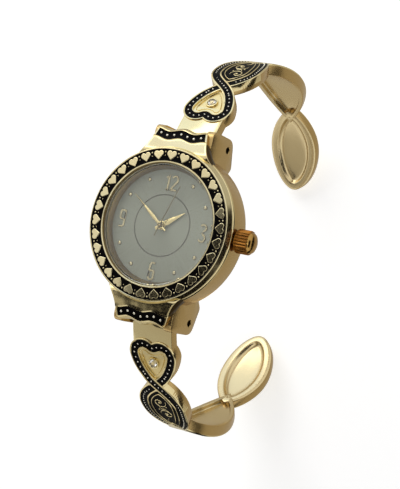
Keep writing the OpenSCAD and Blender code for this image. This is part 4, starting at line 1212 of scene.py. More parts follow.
@dataclass
class DialSet:
    """Dial, rehaut, applied numerals and dots, crystal and its seal."""

    face_z: float = 5.1
    plate_t: float = 0.4
    radius: float = 9.6
    hole_r: float = 0.61
    circle_r: float = 4.9
    circle_w: float = 0.1
    numeral_r: float = 7.3
    numeral_h: float = 2.9
    twelve_r: float = 6.85
    twelve_h: float = 2.45
    twelve_pitch: float = 1.2
    dot_r: float = 7.9
    applied: float = 0.16
    glass_z: float = 6.25
    seal_r: float = 9.75

    def plate(self) -> Skin:
        """The dial plate with its bored middle and the circle engraved round it.

        Returns:
            The plate, its groove marked as the engraved line.
        """
        z, c, w = self.face_z, self.circle_r, self.circle_w
        hole, r, low = self.hole_r, self.radius, self.face_z - self.plate_t
        profile = [(hole, low), (r, low), (r, z - 0.04), (r - 0.04, z), (c + w, z), (c, z - 0.06), (c - w, z)]
        profile += [(hole + 0.04, z), (hole, z - 0.04)]
        return turned(profile, marks=[0, 0, 0, 0, 1, 1, 0, 0, 0])

    def flange(self) -> Skin:
        """The rehaut: a ring that slopes down from the bezel to the dial."""
        low = [(8.95, 0.0), (9.65, 0.0), (9.65, 0.9), (9.38, 0.9), (9.33, 0.86), (8.98, 0.14), (8.93, 0.06)]
        return turned([(r, self.face_z + z) for r, z in low])

    def stroke(self, path: Sequence[Point2], width: float = 0.34) -> Skin:
        """One stroke of a numeral: a bar with chamfered shoulders that follows a path.

        Args:
            path: the points of its middle line.
            width: how wide it is.

        Returns:
            The bar, its sides marked 1.
        """
        skin = Skin()
        h, t = width / 2, self.applied
        section = ((-h, -0.02), (-h, t - 0.06), (-h + 0.06, t), (h - 0.06, t), (h, t - 0.06), (h, -0.02))
        rings = []
        for i, (x, y) in enumerate(path):
            d = heading(path, i)
            rings.append([Vector((x - d.y * a, y + d.x * a, b)) for a, b in section])
        skin.tube(rings)
        # the sides are painted dark as shade
        for i, corners in enumerate(skin.faces):
            if min(skin.points[k].z for k in corners) < 0:
                skin.marks[i] = 1
        return skin

    def digit(self, number: int, h: float) -> list[list[Point2]]:
        """The strokes of a slim digit that stands on y = 0.

        Args:
            number: 1, 2, 3 or 6. A 9 is a 6 turned by half a turn.
            h: its height.

        Returns:
            The path of each stroke.
        """
        r = 0.5
        if number == 1:
            flag = [(0.12, h - 0.05), (-0.05, h - 0.3), (-0.32, h - 0.5)]
            return [[(0.12, 0.0), (0.12, h)], flag, [(-0.12, 0.1), (0.36, 0.1)]]
        if number == 2:
            top = arc(0.0, h - r - 0.1, r, 165, -25, 12)
            return [top + [(0.25, h * 0.5), (-0.3, h * 0.2), (-0.5, 0.13)], [(-0.6, 0.13), (0.6, 0.13)]]
        if number == 3:
            top = arc(0.0, h - r - 0.12, r, 150, -80, 12)
            low = arc(0.0, r + 0.18, r + 0.05, 85, -150, 14)
            return [top, low, [(-0.12, h * 0.5), (0.12, h * 0.5)]]
        low = rounded([(-0.42, 0.16, 0.3), (0.42, 0.16, 0.3), (0.42, 1.55, 0.3), (-0.42, 1.55, 0.3)])
        stem = [(-0.42, 0.5), (-0.42, h - 0.55)] + arc(-0.04, h - 0.52, 0.38, 180, 90, 8) + [(0.4, h - 0.14)]
        return [low + low[:1], stem]

    def numerals(self) -> Skin:
        """The four applied numerals: 12, 3, 6 and 9.

        Returns:
            All four in one skin, at their places.
        """
        skin = Skin()
        for angle, digits in ((0, (1, 2)), (90, (3,)), (180, (6,)), (270, (9,))):
            a = math.radians(angle)
            r, h = (self.twelve_r, self.twelve_h) if len(digits) == 2 else (self.numeral_r, self.numeral_h)
            place = Vector((r * math.sin(a), r * math.cos(a), self.face_z))
            for k, number in enumerate(digits):
                shift = (k - (len(digits) - 1) / 2) * self.twelve_pitch
                move = Matrix.Translation(place + Vector((shift, -h / 2, 0)))
                if number == 9:
                    over = Matrix.Rotation(math.pi, 4, "Z")
                    move = Matrix.Translation(place + Vector((0, h / 2, 0))) @ over
                for path in self.digit(6 if number == 9 else number, h):
                    skin.add(self.stroke(path), move)
        return skin

    def dots(self) -> Skin:
        """The eight applied hour dots.

        Returns:
            All eight in one skin, their sides marked 1.
        """
        skin = Skin()
        dot = dome(0.34, 0.17, rows=5, steps=24)
        # the dots' sides are painted dark as shade
        dot.marks = [1 if min(dot.points[k].z for k in corners) < 0.08 else 0 for corners in dot.faces]
        for hour in (1, 2, 4, 5, 7, 8, 10, 11):
            a = math.radians(30 * hour)
            place = Vector((self.dot_r * math.sin(a), self.dot_r * math.cos(a), self.face_z))
            skin.add(dot, Matrix.Translation(place))
        return skin

    def crystal(self) -> Skin:
        """The flat watch glass with a polished bevel."""
        z, r, up = self.glass_z, self.radius, self.glass_z + 1.0
        return turned([(0.0, z), (r - 0.03, z), (r, z + 0.03), (r, up - 0.15), (r - 0.15, up), (0.0, up)])

    def seal(self) -> Skin:
        """The nylon seal round the glass."""
        a, b, z, up = self.radius, self.seal_r, self.glass_z, self.glass_z + 0.85
        return turned([(a, z), (b, z), (b, up - 0.02), (b - 0.03, up), (a + 0.02, up), (a, up - 0.02)])

    def build(self) -> None:
        """Makes the dial and what stands on and over it."""
        dress("dial_plate", "case", self.plate(), [DIAL, DIAL_LINE], ["dial"], crease=15)
        dress("rehaut", "case", self.flange(), [GOLD_FLANGE], ["dial_flange"])
        finishes, slot = [GOLD_APPLIED, GOLD_APPLIED_SIDE], "applied_gold"
        dress("applied_numerals", "case", self.numerals(), finishes, ["dial_numerals"], crease=20)
        dress("applied_dots", "case", self.dots(), finishes, ["dial_dots"])
        dress("watch_glass", "case", self.crystal(), [GLASS], ["crystal"])
        dress("glass_seal", "case", self.seal(), [NYLON], ["crystal_gasket"])


@dataclass
class Hand:
    """One hand: a blade with a ridge along it, a short tail and a bored hub."""

    name: str
    body: str
    length: float
    width: float
    tail: float
    hub: float
    bore: float
    height: float
    angle: float
    slender: bool = False
    belly: float = 0.26
    thickness: float = 0.13

    def skin(self) -> Skin:
        """The blade as two sloping facets, and the hub with its bevelled edge.

        Returns:
            The hand's skin, which points to +Y.
        """
        skin = Skin()
        t, hub, bore = self.thickness, self.hub, self.bore
        # how far along the hand, and the share of its full width there
        if self.slender:
            stations = [(-self.tail, 1.0), (-hub * 0.6, 1.0), (hub * 0.6, 1.0), (self.length, 0.8)]
        else:
            stations = [
                (-self.tail, 0.55), (-self.tail * 0.5, 0.5), (-hub * 0.6, 0.55), (hub * 0.6, 0.62),
                (self.belly * self.length, 1.0), (self.length * 0.6, 0.56), (self.length * 0.98, 0.1),
                (self.length, 0.04),
            ]
        rings = []
        for y, share in stations:
            w = self.width / 2 * share
            left = [(-w, 0.0), (-w, t * 0.45), (-w * 0.85, t * 0.55)]
            section = left + [(0.0, t)] + [(-x, z) for x, z in reversed(left)]
            rings.append([Vector((x, y, z)) for x, z in section])
        skin.tube(rings)
        profile = [(bore, 0.0), (hub, 0.0), (hub, t * 0.8), (hub - 0.06, t), (bore + 0.03, t)]
        skin.add(turned(profile + [(bore, t * 0.9)], steps=48))
        return skin

    def build(self) -> None:
        """Makes the hand at the time that it shows at rest."""
        turn = Matrix.Translation((0, 0, self.height)) @ Matrix.Rotation(math.radians(self.angle), 4, "Z")
        finishes = [GOLD_WIRE if self.slender else GOLD_HAND]
        name = f"{self.name}_blade"
        dress(name, self.body, self.skin(), finishes, [self.name], turn, crease=12)


@dataclass
class Crown:
    """The fluted crown on its stem at 3 o'clock."""

    x: float = 12.85
    z: float = 4.2
    radius: float = 1.9
    length: float = 2.3
    socket_r: float = 0.99
    flutes: int = 24
    depth: float = 0.17
    steps: int = 12

    def ring(self, along: float, base: float, groove: float) -> Ring:
        """One ring across the barrel.

        Args:
            along: how far it lies from the barrel's inner end.
            base: its radius on a rib.
            groove: the depth of the flutes in it.

        Returns:
            Its points.
        """
        count = self.flutes * self.steps
        out = []
        for i in range(count):
            phase = (i % self.steps) / self.steps
            r = base - groove * (0.5 - 0.5 * math.cos(2 * math.pi * phase))
            a = 2 * math.pi * i / count
            out.append(Vector((self.x + along, r * math.cos(a), self.z + r * math.sin(a))))
        return out

    def skin(self) -> Skin:
        """The barrel with its cosine flutes, its chamfered ends and the domed cap.

        Returns:
            The crown, its fluted bands marked 1.
        """
        skin = Skin()
        r, length, deep, socket = self.radius, self.length, self.depth, self.socket_r
        # how far along, the radius on a rib, and the flutes' depth
        profile = [
            (0.9, 0.4, 0), (0.9, socket, 0), (0.0, socket, 0), (0.0, r - 0.3, 0),
            (0.08, r - 0.06, deep * 0.6), (0.16, r, deep), (length - 0.2, r, deep),
            (length - 0.08, r - 0.05, deep * 0.7), (length, r - deep - 0.05, 0),
            (length + 0.12, r - deep - 0.12, 0), (length + 0.35, r * 0.78, 0),
            (length + 0.58, r * 0.56, 0), (length + 0.7, r * 0.33, 0), (length + 0.75, 0.1, 0),
        ]
        # the fluted bands are painted a deep brown as shade
        first_fluted, last_fluted = 3, 7
        marks = [int(first_fluted <= i <= last_fluted) for i in range(len(profile) - 1)]
        skin.tube([self.ring(*row) for row in profile], marks)
        return skin

    def build(self) -> None:
        """Makes the crown."""
        finishes = [GOLD_CROWN, GOLD_FLUTE]
        dress("fluted_crown", "crown_group", self.skin(), finishes, ["crown"], crease=38)


@dataclass
class CaseBack:
    """The case back, pressed into the case, with a brushed outer face."""

    radius: float = 11.2
    face_r: float = 10.2
    thickness: float = 1.1
    grip: float = 9.75
    grip_t: float = 0.9

    def build(self) -> None:
        """Makes the back: bevelled plate with a turned line, and the rim that grips the case."""
        t, r, f, g, up = self.thickness, self.radius, self.face_r, self.grip, self.thickness + self.grip_t
        profile = [
            (0.0, 0.0), (f - 1.6, 0.0), (f - 1.45, 0.07), (f - 1.3, 0.0), (f, 0.0), (r - 0.1, 0.52),
            (r, 0.62), (r, t - 0.06), (r - 0.06, t), (g + 0.2, t), (g + 0.2, up - 0.5),
            (g + 0.42, up - 0.5), (g + 0.42, up - 0.05), (g + 0.35, up), (g, up), (g, t), (0.0, t),
        ]
        dress("pressed_back", "case", turned(profile), [STEEL], ["case_back"])


# The arms


class ArmFace(IntEnum):
    """The kinds of face on an arm, each with the number of its finish."""

    TOP = 0
    # side walls, in the darker colour of painted shade
    SIDE = 1
    INNER = 2
    FLOOR = 3
    BEAD = 4
    # the seat under the stone, painted dark brown as shade
    SEAT_PAINTED_SHADE = 5


def band(face: ArmFace, *rows: Point2) -> list[Band]:
    """Rows of (inset, height) with the kind of face that follows each of them."""
    return [(inset, h, face) for inset, h in rows]


@dataclass
class Oval:
    """The oval that the arms' outer faces follow: two long arcs and two side arcs that meet smoothly."""

    width: float = 65.8
    height: float = 51.2
    drop: float = 20.396
    side_r: float = 20.5
    notch_y: float = 19.0

    def __post_init__(self) -> None:
        """Works out the arcs, and the run of the path along each of them."""
        a, b = self.width / 2, self.height / 2
        self.long_r = ((a - self.side_r) ** 2 + b * b - self.side_r**2) / (2 * (b - self.side_r))
        self.long_c = b - self.long_r
        self.side_c = a - self.side_r
        self.join = math.atan2(-self.long_c, self.side_c)
        self.start = math.acos(self.notch_y / self.long_r)
        self.upper_run = (self.start - self.join) * self.long_r
        self.side_run = 2 * self.join * self.side_r

    def at(self, x: float, s: float, h: float) -> Vector:
        """A point on the arm.

        Args:
            x: across the arm.
            s: path length from the heart's notch, along the outer face.
            h: height above the outer face.

        Returns:
            The point in the row frame, on the 12 o'clock side.
        """
        if s < self.upper_run:
            e = self.start - s / self.long_r
            y, z, r = 0.0, self.long_c, self.long_r
        elif s < self.upper_run + self.side_run:
            e = self.join - (s - self.upper_run) / self.side_r
            y, z, r = self.side_c, 0.0, self.side_r
        else:
            e = -self.join - (s - self.upper_run - self.side_run) / self.long_r
            y, z, r = 0.0, -self.long_c, self.long_r
        return Vector((x, y + (r + h) * math.cos(e), z + (r + h) * math.sin(e) - self.drop))


@dataclass
class Arm:
    """One arm of the bangle: neck, heart, leaf, plain oval and end oval, cast in one piece."""

    oval: Oval = field(default_factory=Oval)
    thickness: float = 2.0
    border: float = 0.3
    band: float = 1.2
    line: float = 0.22
    heart_w: float = 8.7
    lobe_s: float = 1.7
    tip_s: float = 7.4
    leaf_s: float = 12.8
    leaf_h: float = 4.3
    leaf_back: float = 5.6
    leaf_front: float = 10.0
    plain_s: float = 30.5
    plain_h: float = 4.4
    plain_back: float = 12.5
    plain_front: float = 11.4
    end_s: float = 48.0
    end_h: float = 4.6
    end_back: float = 8.8
    end_front: float = 8.6
    stone_s: float = 3.2
    stone_r: float = 0.75
    channel: float = 0.3
    second_band: float = 0.5
    neck_half: float = 3.6
    knuckle_r: float = 1.35
    knuckle_bore: float = 0.64
    knuckle_x: Point2 = (1.7, 3.55)

    def heart(self, inset: float) -> list[Point2]:
        """The heart link's outline as (x, s)."""
        return HeartOutline(self.heart_w, self.lobe_s, self.tip_s, 1.1).whole(inset)

    def leaf(self, inset: float) -> list[Point2]:
        """The leaf link's outline as (x, s)."""
        side = oval_side(self.leaf_h, self.leaf_back, self.leaf_front, inset, 20)
        return [(x, self.leaf_s + y) for x, y in mirror_side(side)]

    def plain(self, inset: float) -> list[Point2]:
        """The plain link's outline as (x, s)."""
        side = oval_side(self.plain_h, self.plain_back, self.plain_front, inset, 26)
        return [(x, self.plain_s + y) for x, y in mirror_side(side)]

    def end(self, inset: float) -> list[Point2]:
        """The end link's outline as (x, s)."""
        side = egg_side(self.end_h, self.end_back, self.end_front, (0.4, 0.8), inset, 26)
        return [(x, self.end_s + y) for x, y in mirror_side(side)]

    def lay(self, outline: Sequence[Point2], h: float) -> Ring:
        """Lays an outline on the arm at height h."""
        return [self.oval.at(x, s, h) for x, s in outline]

    def link(
        self,
        skin: Skin,
        outline: Callable[[float], list[Point2]],
        profile: Sequence[Band],
    ) -> None:
        """Adds a link as a closed shell.

        Args:
            skin: the skin that it is added to.
            outline: gives the outline drawn in by a length.
            profile: (inset, height, finish number) from the middle of the inner face, over the
                edge, to the middle of the outer face; the number is that of the band after it.
        """
        rows = skin.loft([self.lay(outline(i), h) for i, h, _ in profile], [m for _, _, m in profile[:-1]])
        skin.fill(rows[0], outline(profile[0][0]), profile[0][2])
        skin.fill(rows[-1], outline(profile[-1][0]), profile[-1][2])

    def back_rim(self, hollow: float, wall: float = 0.8) -> list[Band]:
        """The profile of a link's hollow inner face, up to its side wall.

        Args:
            hollow: how deep the inner face is hollowed.
            wall: how thick the wall round the hollow is.

        Returns:
            Its (inset, height, finish number) rows.
        """
        t = self.thickness
        floor = -t + hollow
        inside = band(ArmFace.INNER, (wall + 0.5, floor), (wall + 0.12, floor - 0.04), (wall, floor - 0.2))
        inside += band(ArmFace.INNER, (wall, -t + 0.1), (wall - 0.08, -t))
        return inside + band(ArmFace.SIDE, (0.14, -t), (0.03, -t + 0.06), (0.0, -t + 0.2))

    def rim(self, inset: float) -> list[Band]:
        """The profile of a raised border, with its shoulders rounded.

        Args:
            inset: how far inside the outline it starts.

        Returns:
            Its (inset, height, finish number) rows.
        """
        end = inset + self.border
        near = ((inset, -0.16), (inset + 0.03, -0.05), (inset + 0.09, 0.0))
        return band(ArmFace.TOP, *near, (end - 0.08, 0.0), (end - 0.03, -0.05), (end, -self.channel))

    def ridge(self, inset: float, width: float, floor: float, rise: float = 0.0) -> list[Band]:
        """The profile of a raised line inside a link.

        Args:
            inset: how far inside the outline it starts.
            width: how wide it is.
            floor: the height at its feet.
            rise: the height of its top.

        Returns:
            Its (inset, height, finish number) rows, from floor up and down again.
        """
        end = inset + width
        near = ((inset, floor), (inset + 0.03, -0.06 + rise), (inset + 0.07, rise))
        return band(ArmFace.TOP, *near, (end - 0.07, rise), (end - 0.03, -0.06 + rise), (end, floor))

    def crossing(self, over: bool, offset: float = 0.0) -> list[Point2]:
        """The middle line of the ribbon that runs from the heart's flank to the leaf's other flank.

        Args:
            over: True for the ribbon that passes on top, which leaves the heart on its +X side.
            offset: a shift across the ribbon.

        Returns:
            Points (x, s) along the ribbon.
        """
        middle = self.border + self.band / 2
        heart = [p for p in self.heart(middle) if p[0] > 0 and 3.4 < p[1] < 6.4]
        leaf = [(-x, s) for x, s in self.leaf(middle) if x > 0 and 9.3 < s < 13.2]
        heart.sort(key=lambda p: p[1])
        leaf.sort(key=lambda p: p[1])
        a, b = Vector(heart[-1]), Vector(leaf[0])
        da = (a - Vector(heart[-2])).normalized() * 3.0
        db = (Vector(leaf[1]) - b).normalized() * 3.0
        mid = []
        for k in range(1, 16):
            t = k / 16
            p = (
                a * (2 * t**3 - 3 * t**2 + 1)
                + da * (t**3 - 2 * t**2 + t)
                + b * (-2 * t**3 + 3 * t**2)
                + db * (t**3 - t**2)
            )
            mid.append((p.x, p.y))
        path = heart + mid + leaf
        flip = 1 if over else -1
        out = []
        for i, (x, s) in enumerate(path):
            x0, s0 = path[max(i - 1, 0)]
            x1, s1 = path[min(i + 1, len(path) - 1)]
            d = Vector((x1 - x0, s1 - s0)).normalized()
            out.append((flip * (x - d.y * offset), s + d.x * offset))
        return out

    def strand(self, over: bool, section: Sequence[Point2], lift: Sequence[float]) -> Skin:
        """A strip that follows one crossing ribbon.

        Args:
            over: True for the ribbon that passes on top.
            section: (offset, height) points across the strip.
            lift: how far the ribbon stands above the links, point by point along it.

        Returns:
            The open strip.
        """
        skin = Skin()
        lines = [self.crossing(over, offset) for offset, _ in section]
        rings = []
        for i, up in enumerate(lift):
            rings.append([self.oval.at(*line[i], h + up) for line, (_, h) in zip(lines, section)])
        skin.loft(rings, closed=False)
        return skin

    def ribbon(self, over: bool) -> tuple[Skin, Skin]:
        """One crossing ribbon.

        Args:
            over: True for the ribbon that passes on top.

        Returns:
            Its gold body with two borders, and the enamel between them.
        """
        half, border = self.band / 2 + self.border, self.border
        top, sunk = 0.16 if over else 0.05, 0.03
        last = len(self.crossing(over)) - 1
        lift = []
        for i in range(last + 1):
            t = i / last
            hump = smoothstep(0.0, 0.3, t) * (1 - smoothstep(0.7, 1.0, t))
            lift.append(-sunk + (top + sunk) * hump)
        profile = [
            (-half, -1.2), (-half, -0.12), (-half + 0.04, -0.03), (-half + 0.11, 0.0),
            (-half + border - 0.1, 0.0), (-half + border - 0.02, -0.05),
            (-half + border, -self.channel),
        ]
        profile += [(-x, h) for x, h in reversed(profile)]
        inner = half - border
        across = [(-inner, -0.05), (-inner + 0.1, -0.08), (0.0, -0.1), (inner - 0.1, -0.08), (inner, -0.05)]
        return self.strand(over, profile, lift), self.strand(over, across, lift)

    def standing(self, x: float, s: float, h: float) -> Matrix:
        """The placing of something small that stands upright on the arm at (x, s) and height h."""
        p = self.oval.at(x, s, h)
        return Matrix.Translation(p) @ facing((self.oval.at(x, s, h + 1) - p).normalized())

    def bead_rows(self) -> Skin:
        """The beads that stand in the enamel bands of the heart, the ribbons and the leaf.

        Returns:
            All the beads in one skin, marked as beads.
        """
        skin = Skin()
        sunk = -0.09
        middle = self.border + self.band / 2
        round_bead, small_bead = dome(0.15, 0.14), dome(0.12, 0.12)
        loop = HeartOutline(self.heart_w, self.lobe_s, self.tip_s, 1.1).side(middle)
        for (x, s), _ in resample(loop, 0.95):
            if s < 5.6:
                skin.add(round_bead, self.standing(x, s, sunk))
                if x > 0.2:
                    skin.add(round_bead, self.standing(-x, s, sunk))
        for over in (True, False):
            top = 0.07 if over else -0.04
            for (x, s), _ in resample(self.crossing(over), 0.8, 0.5):
                if 5.4 < s < 9.6 and (over or abs(x) > 1.2):
                    bead = round_bead if s < 7.6 else small_bead
                    skin.add(bead, self.standing(x, s, top if abs(x) < 1.6 else -0.04))
        side = oval_side(self.leaf_h, self.leaf_back, self.leaf_front, middle - 0.1, 60)
        for (x, y), _ in resample(side, 0.62, 0.3):
            s = self.leaf_s + y
            if s > 9.6 and x > 0.35:
                skin.add(small_bead, self.standing(x, s, sunk))
                skin.add(small_bead, self.standing(-x, s, sunk))
        skin.marks = [ArmFace.BEAD] * len(skin.faces)
        return skin

    def wire(self, path: Sequence[Point2], radius: float, lift: float) -> Skin:
        """A raised gold line, round on top and thinner at its ends.

        Args:
            path: the (x, s) points of its middle line.
            radius: half its width.
            lift: the height that it lies at.

        Returns:
            The line's skin.
        """
        skin = Skin()
        rings = []
        last = len(path) - 1
        for i, (x, s) in enumerate(path):
            d = heading(path, i)
            r = radius * (0.45 + 0.55 * min(1.0, 4 * min(i, last - i) / last))
            ring = []
            for a in (math.pi * k / 8 for k in range(9)):
                across, up = r * math.cos(a), r * math.sin(a) * 0.9
                ring.append(self.oval.at(x - d.y * across, s + d.x * across, lift + up - 0.02))
            rings.append(ring)
        skin.tube(rings, closed=False)
        return skin

    def spiral(self, middle: Point2, start: float, turns: float, radius: float) -> list[Point2]:
        """A spiral that winds inward in the leaf.

        Args:
            middle: its middle as (x, s from the leaf's widest place).
            start: the angle of its outer end, in degrees.
            turns: how often it winds round, clockwise.
            radius: its outer radius.

        Returns:
            Its points, from outside to inside.
        """
        inner, steps = 0.22, 30
        x, s = middle[0], self.leaf_s + middle[1]
        out = []
        for i in range(steps + 1):
            t = i / steps
            a = math.radians(start) - 2 * math.pi * turns * t
            r = radius + (inner - radius) * t
            out.append((x + r * math.cos(a), s + r * math.sin(a)))
        return out

    def scrolls(self) -> Skin:
        """The scrolls and beads that fill the leaf's black middle.

        Returns:
            All of them in one skin.
        """
        skin = Skin()
        base = self.leaf_s
        low, high = (0.35, -1.0), (-0.35, 2.1)
        for path in (
            self.spiral(low, 200, 1.25, 1.25),
            self.spiral(high, 20, 1.3, 1.3),
            [(0.75, base + 0.1), (0.3, base + 0.75), (-0.3, base + 0.6), (-0.85, base + 1.1)],
            [(-0.1, base + 3.6), (0.35, base + 4.4), (0.25, base + 5.3), (0.0, base + 5.9)],
        ):
            skin.add(self.wire(path, 0.09, -0.1))
        for (x, s), r in ((low, 0.2), (high, 0.2), ((0.85, 0.95), 0.13), ((-0.75, -0.1), 0.13)):
            skin.add(dome(r, r * 0.7), self.standing(x, base + s, -0.1))
        return skin

    def at_stone(self) -> Matrix:
        """The place and direction of the stone on the arm's outer face."""
        return self.standing(0.0, self.stone_s, 0.0)

    def setting(self) -> Skin:
        """The round setting with a tapered seat and four small grains over the stone's edge.

        Returns:
            The setting, which stands on the plane z = 0.
        """
        r = self.stone_r
        profile = [
            (r + 0.3, -0.75), (r + 0.3, -0.08), (r + 0.25, 0.02), (r + 0.17, 0.05), (r + 0.07, 0.03),
            (r, -0.04), (0.2, -0.5), (0.0, -0.5), (0.0, -0.75),
        ]
        # the seat under the stone is painted dark brown as shade
        skin = turned(profile, steps=40, marks=[ArmFace.TOP] * 5 + [ArmFace.SEAT_PAINTED_SHADE] * 2 + [ArmFace.TOP] * 2)
        reach = r - 0.02
        for a in (math.radians(45 + 90 * k) for k in range(4)):
            skin.add(dome(0.15, 0.16), Matrix.Translation((reach * math.cos(a), reach * math.sin(a), 0.0)))
        return skin

    def stone(self) -> Skin:
        """A round brilliant: table, crown facets and a pointed pavilion.

        Returns:
            The stone, its edge at z = 0.
        """
        skin = Skin()
        r = self.stone_r - 0.01

        def ring(radius: float, z: float, turn: float) -> Ring:
            """Eight points of the cut at one height."""
            angles = [math.radians(45 * i + turn) for i in range(8)]
            return [Vector((radius * math.cos(a), radius * math.sin(a), z)) for a in angles]

        table = skin.ring(ring(r * 0.55, 0.22, 0.0))
        crown = skin.ring(ring(r * 0.82, 0.12, 22.5))
        girdle = skin.ring(ring(r * 1.0, 0.0, 0.0))
        low = skin.ring([Vector((0, 0, -0.46))])[0]
        skin.face(table)
        for i in range(8):
            j = (i + 1) % 8
            skin.face((table[i], crown[i], table[j]))
            skin.face((crown[i - 1], table[i], crown[i], girdle[i]))
            skin.face((crown[i], girdle[i], girdle[j]))
            skin.face((girdle[i], low, girdle[j]))
        return skin

    def neck(self) -> Skin:
        """The flat neck between the hinge and the heart.

        Returns:
            The neck, its side walls marked as such.
        """
        skin = Skin()
        half, t = self.neck_half, self.thickness
        # s at the top and at the bottom of each cross-section
        stations = ((-4.62, -3.75), (-4.5, -3.65), (-3.5, -3.0), (-2.0, -1.8))
        stations += ((-0.5, -0.5), (0.8, 0.8), (2.0, 2.0))
        left = [(-half, -t + 0.1), (-half, -0.36), (-half + 0.04, -0.25), (-half + 0.14, -0.2)]
        right = [(-x, h) for x, h in reversed(left)]
        section = left + right + [(half - 0.1, -t), (-half + 0.1, -t)]
        rings = []
        for k, (top, low) in enumerate(stations):
            ring = []
            for x, h in section:
                ease = 0.08 if k == 0 and h > -0.3 else 0.0
                ring.append(self.oval.at(x, top + (low - top) * -h / t, h - ease))
            rings.append(ring)
        skin.tube(rings)
        for i, f in enumerate(skin.faces):
            xs = [skin.points[j].x for j in f]
            if min(xs) > half - 0.06 or max(xs) < -half + 0.06:
                skin.marks[i] = ArmFace.SIDE
        return skin

    def knuckles(self) -> Skin:
        """The two barrels that turn on the pin, each with the heel that stops against the case.

        Returns:
            Both barrels and both heels, marked as side walls.
        """
        skin = Skin()
        r, bore = self.knuckle_r, self.knuckle_bore
        on_pin = Matrix.Translation((0, PIN_Y, PIN_Z)) @ Matrix.Rotation(math.pi / 2, 4, "Y")
        near, far = self.knuckle_x
        for low, high in ((-far, -near), (near, far)):
            profile = [(bore, low), (r - 0.08, low), (r, low + 0.08)]
            profile += [(r, high - 0.08), (r - 0.08, high), (bore, high)]
            skin.add(turned(profile, steps=48, marks=ArmFace.SIDE), on_pin)
            skin.add(block((low, 12.55, -2.2), (high, 14.1, -1.5), ArmFace.SIDE))
        return skin

    def metal(self) -> Skin:
        """All of the arm's metal.

        Returns:
            Its skin, with each face marked by its kind.
        """
        skin = self.neck()
        skin.add(self.knuckles())
        c, t, line = -self.channel, self.thickness, self.line
        floor = -0.3
        inner = self.border + self.band
        third = inner + line + self.second_band
        edge = self.back_rim(0.9) + self.rim(0.0) + band(ArmFace.TOP, (inner - 0.01, c))
        edge += self.ridge(inner, line, c)
        second = inner + line + 0.4
        heart = edge + band(ArmFace.FLOOR, (inner + line + 0.02, floor))
        heart += self.ridge(second, 0.18, floor, -0.08)
        heart += band(ArmFace.FLOOR, (second + 0.2, floor), (second + 0.24, floor))
        self.link(skin, self.heart, heart)
        leaf = edge + band(ArmFace.TOP, (inner + line + 0.01, c)) + self.ridge(third, line, c)
        self.link(skin, self.leaf, leaf + band(ArmFace.TOP, (third + line + 0.02, c)))
        top = band(ArmFace.TOP, (0.0, -0.3), (0.04, -0.14), (0.14, -0.04), (0.3, 0.0))
        top += band(ArmFace.TOP, (1.6, 0.02), (3.2, 0.03))
        self.link(skin, self.plain, self.back_rim(0.9) + top)
        # the end oval's inner face is hollowed like a spoon: inset, and height over the face
        hollow = ((3.9, 0.74), (3.2, 0.74), (2.5, 0.7), (2.05, 0.6), (1.75, 0.42), (1.6, 0.22), (1.48, 0.06))
        hollow += ((1.35, 0.0), (1.1, -0.01), (0.6, 0.03), (0.25, 0.1))
        spoon = band(ArmFace.INNER, *((inset, -t + h) for inset, h in hollow))
        self.link(skin, self.end, spoon + band(ArmFace.SIDE, (0.08, -t + 0.2), (0.0, -t + 0.4)) + top)
        for over in (False, True):
            skin.add(self.ribbon(over)[0])
        for piece in (self.bead_rows(), self.scrolls()):
            skin.add(piece)
        skin.add(self.setting(), self.at_stone())
        return skin

    def enamel(self) -> Skin:
        """The black enamel in the heart's band, the ribbons and the leaf.

        Returns:
            All of it in one skin.
        """
        skin = Skin()
        b, inner = self.border, self.border + self.band
        line = inner + self.line
        wide = self.second_band
        bands = ((self.heart, b, inner), (self.leaf, b, inner), (self.leaf, line, line + wide))
        for outline, start, stop in bands:
            middle = (start + stop) / 2
            steps = [(start - 0.01, -0.05), (start + 0.08, -0.08), (middle, -0.1)]
            steps += [(stop - 0.08, -0.08), (stop + 0.01, -0.05)]
            skin.loft([self.lay(outline(i), h) for i, h in steps])
        middle = line + wide + self.line
        steps = [(middle - 0.01, -0.05), (middle + 0.1, -0.09), (middle + 0.4, -0.1)]
        rows = skin.loft([self.lay(self.leaf(i), h) for i, h in steps])
        skin.fill(rows[-1], self.leaf(steps[-1][0]))
        for over in (False, True):
            skin.add(self.ribbon(over)[1])
        return skin

    def build(self, side: Side) -> None:
        """Makes one arm with its enamel and stone.

        Args:
            side: the end of the head that it hangs on.
        """
        body, arm, turn = f"{side.label}_arm_group", f"{side.label}_arm", side.turn
        finishes = [GOLD, GOLD_SIDE, GOLD_INNER, GOLD_SATIN, GOLD_BEAD, GOLD_PIN_AND_PAINTED_SHADE]
        dress(f"{arm}_casting", body, self.metal(), finishes, [arm], turn)
        dress(f"{arm}_black", body, self.enamel(), [ENAMEL], [f"{arm}_enamel"], turn)
        stone = Skin()
        stone.add(self.stone(), self.at_stone())
        name, node = f"{side.label}_heart_stone", f"{side.label}_stone"
        dress(name, body, stone, [STONE], [node], turn, crease=5)


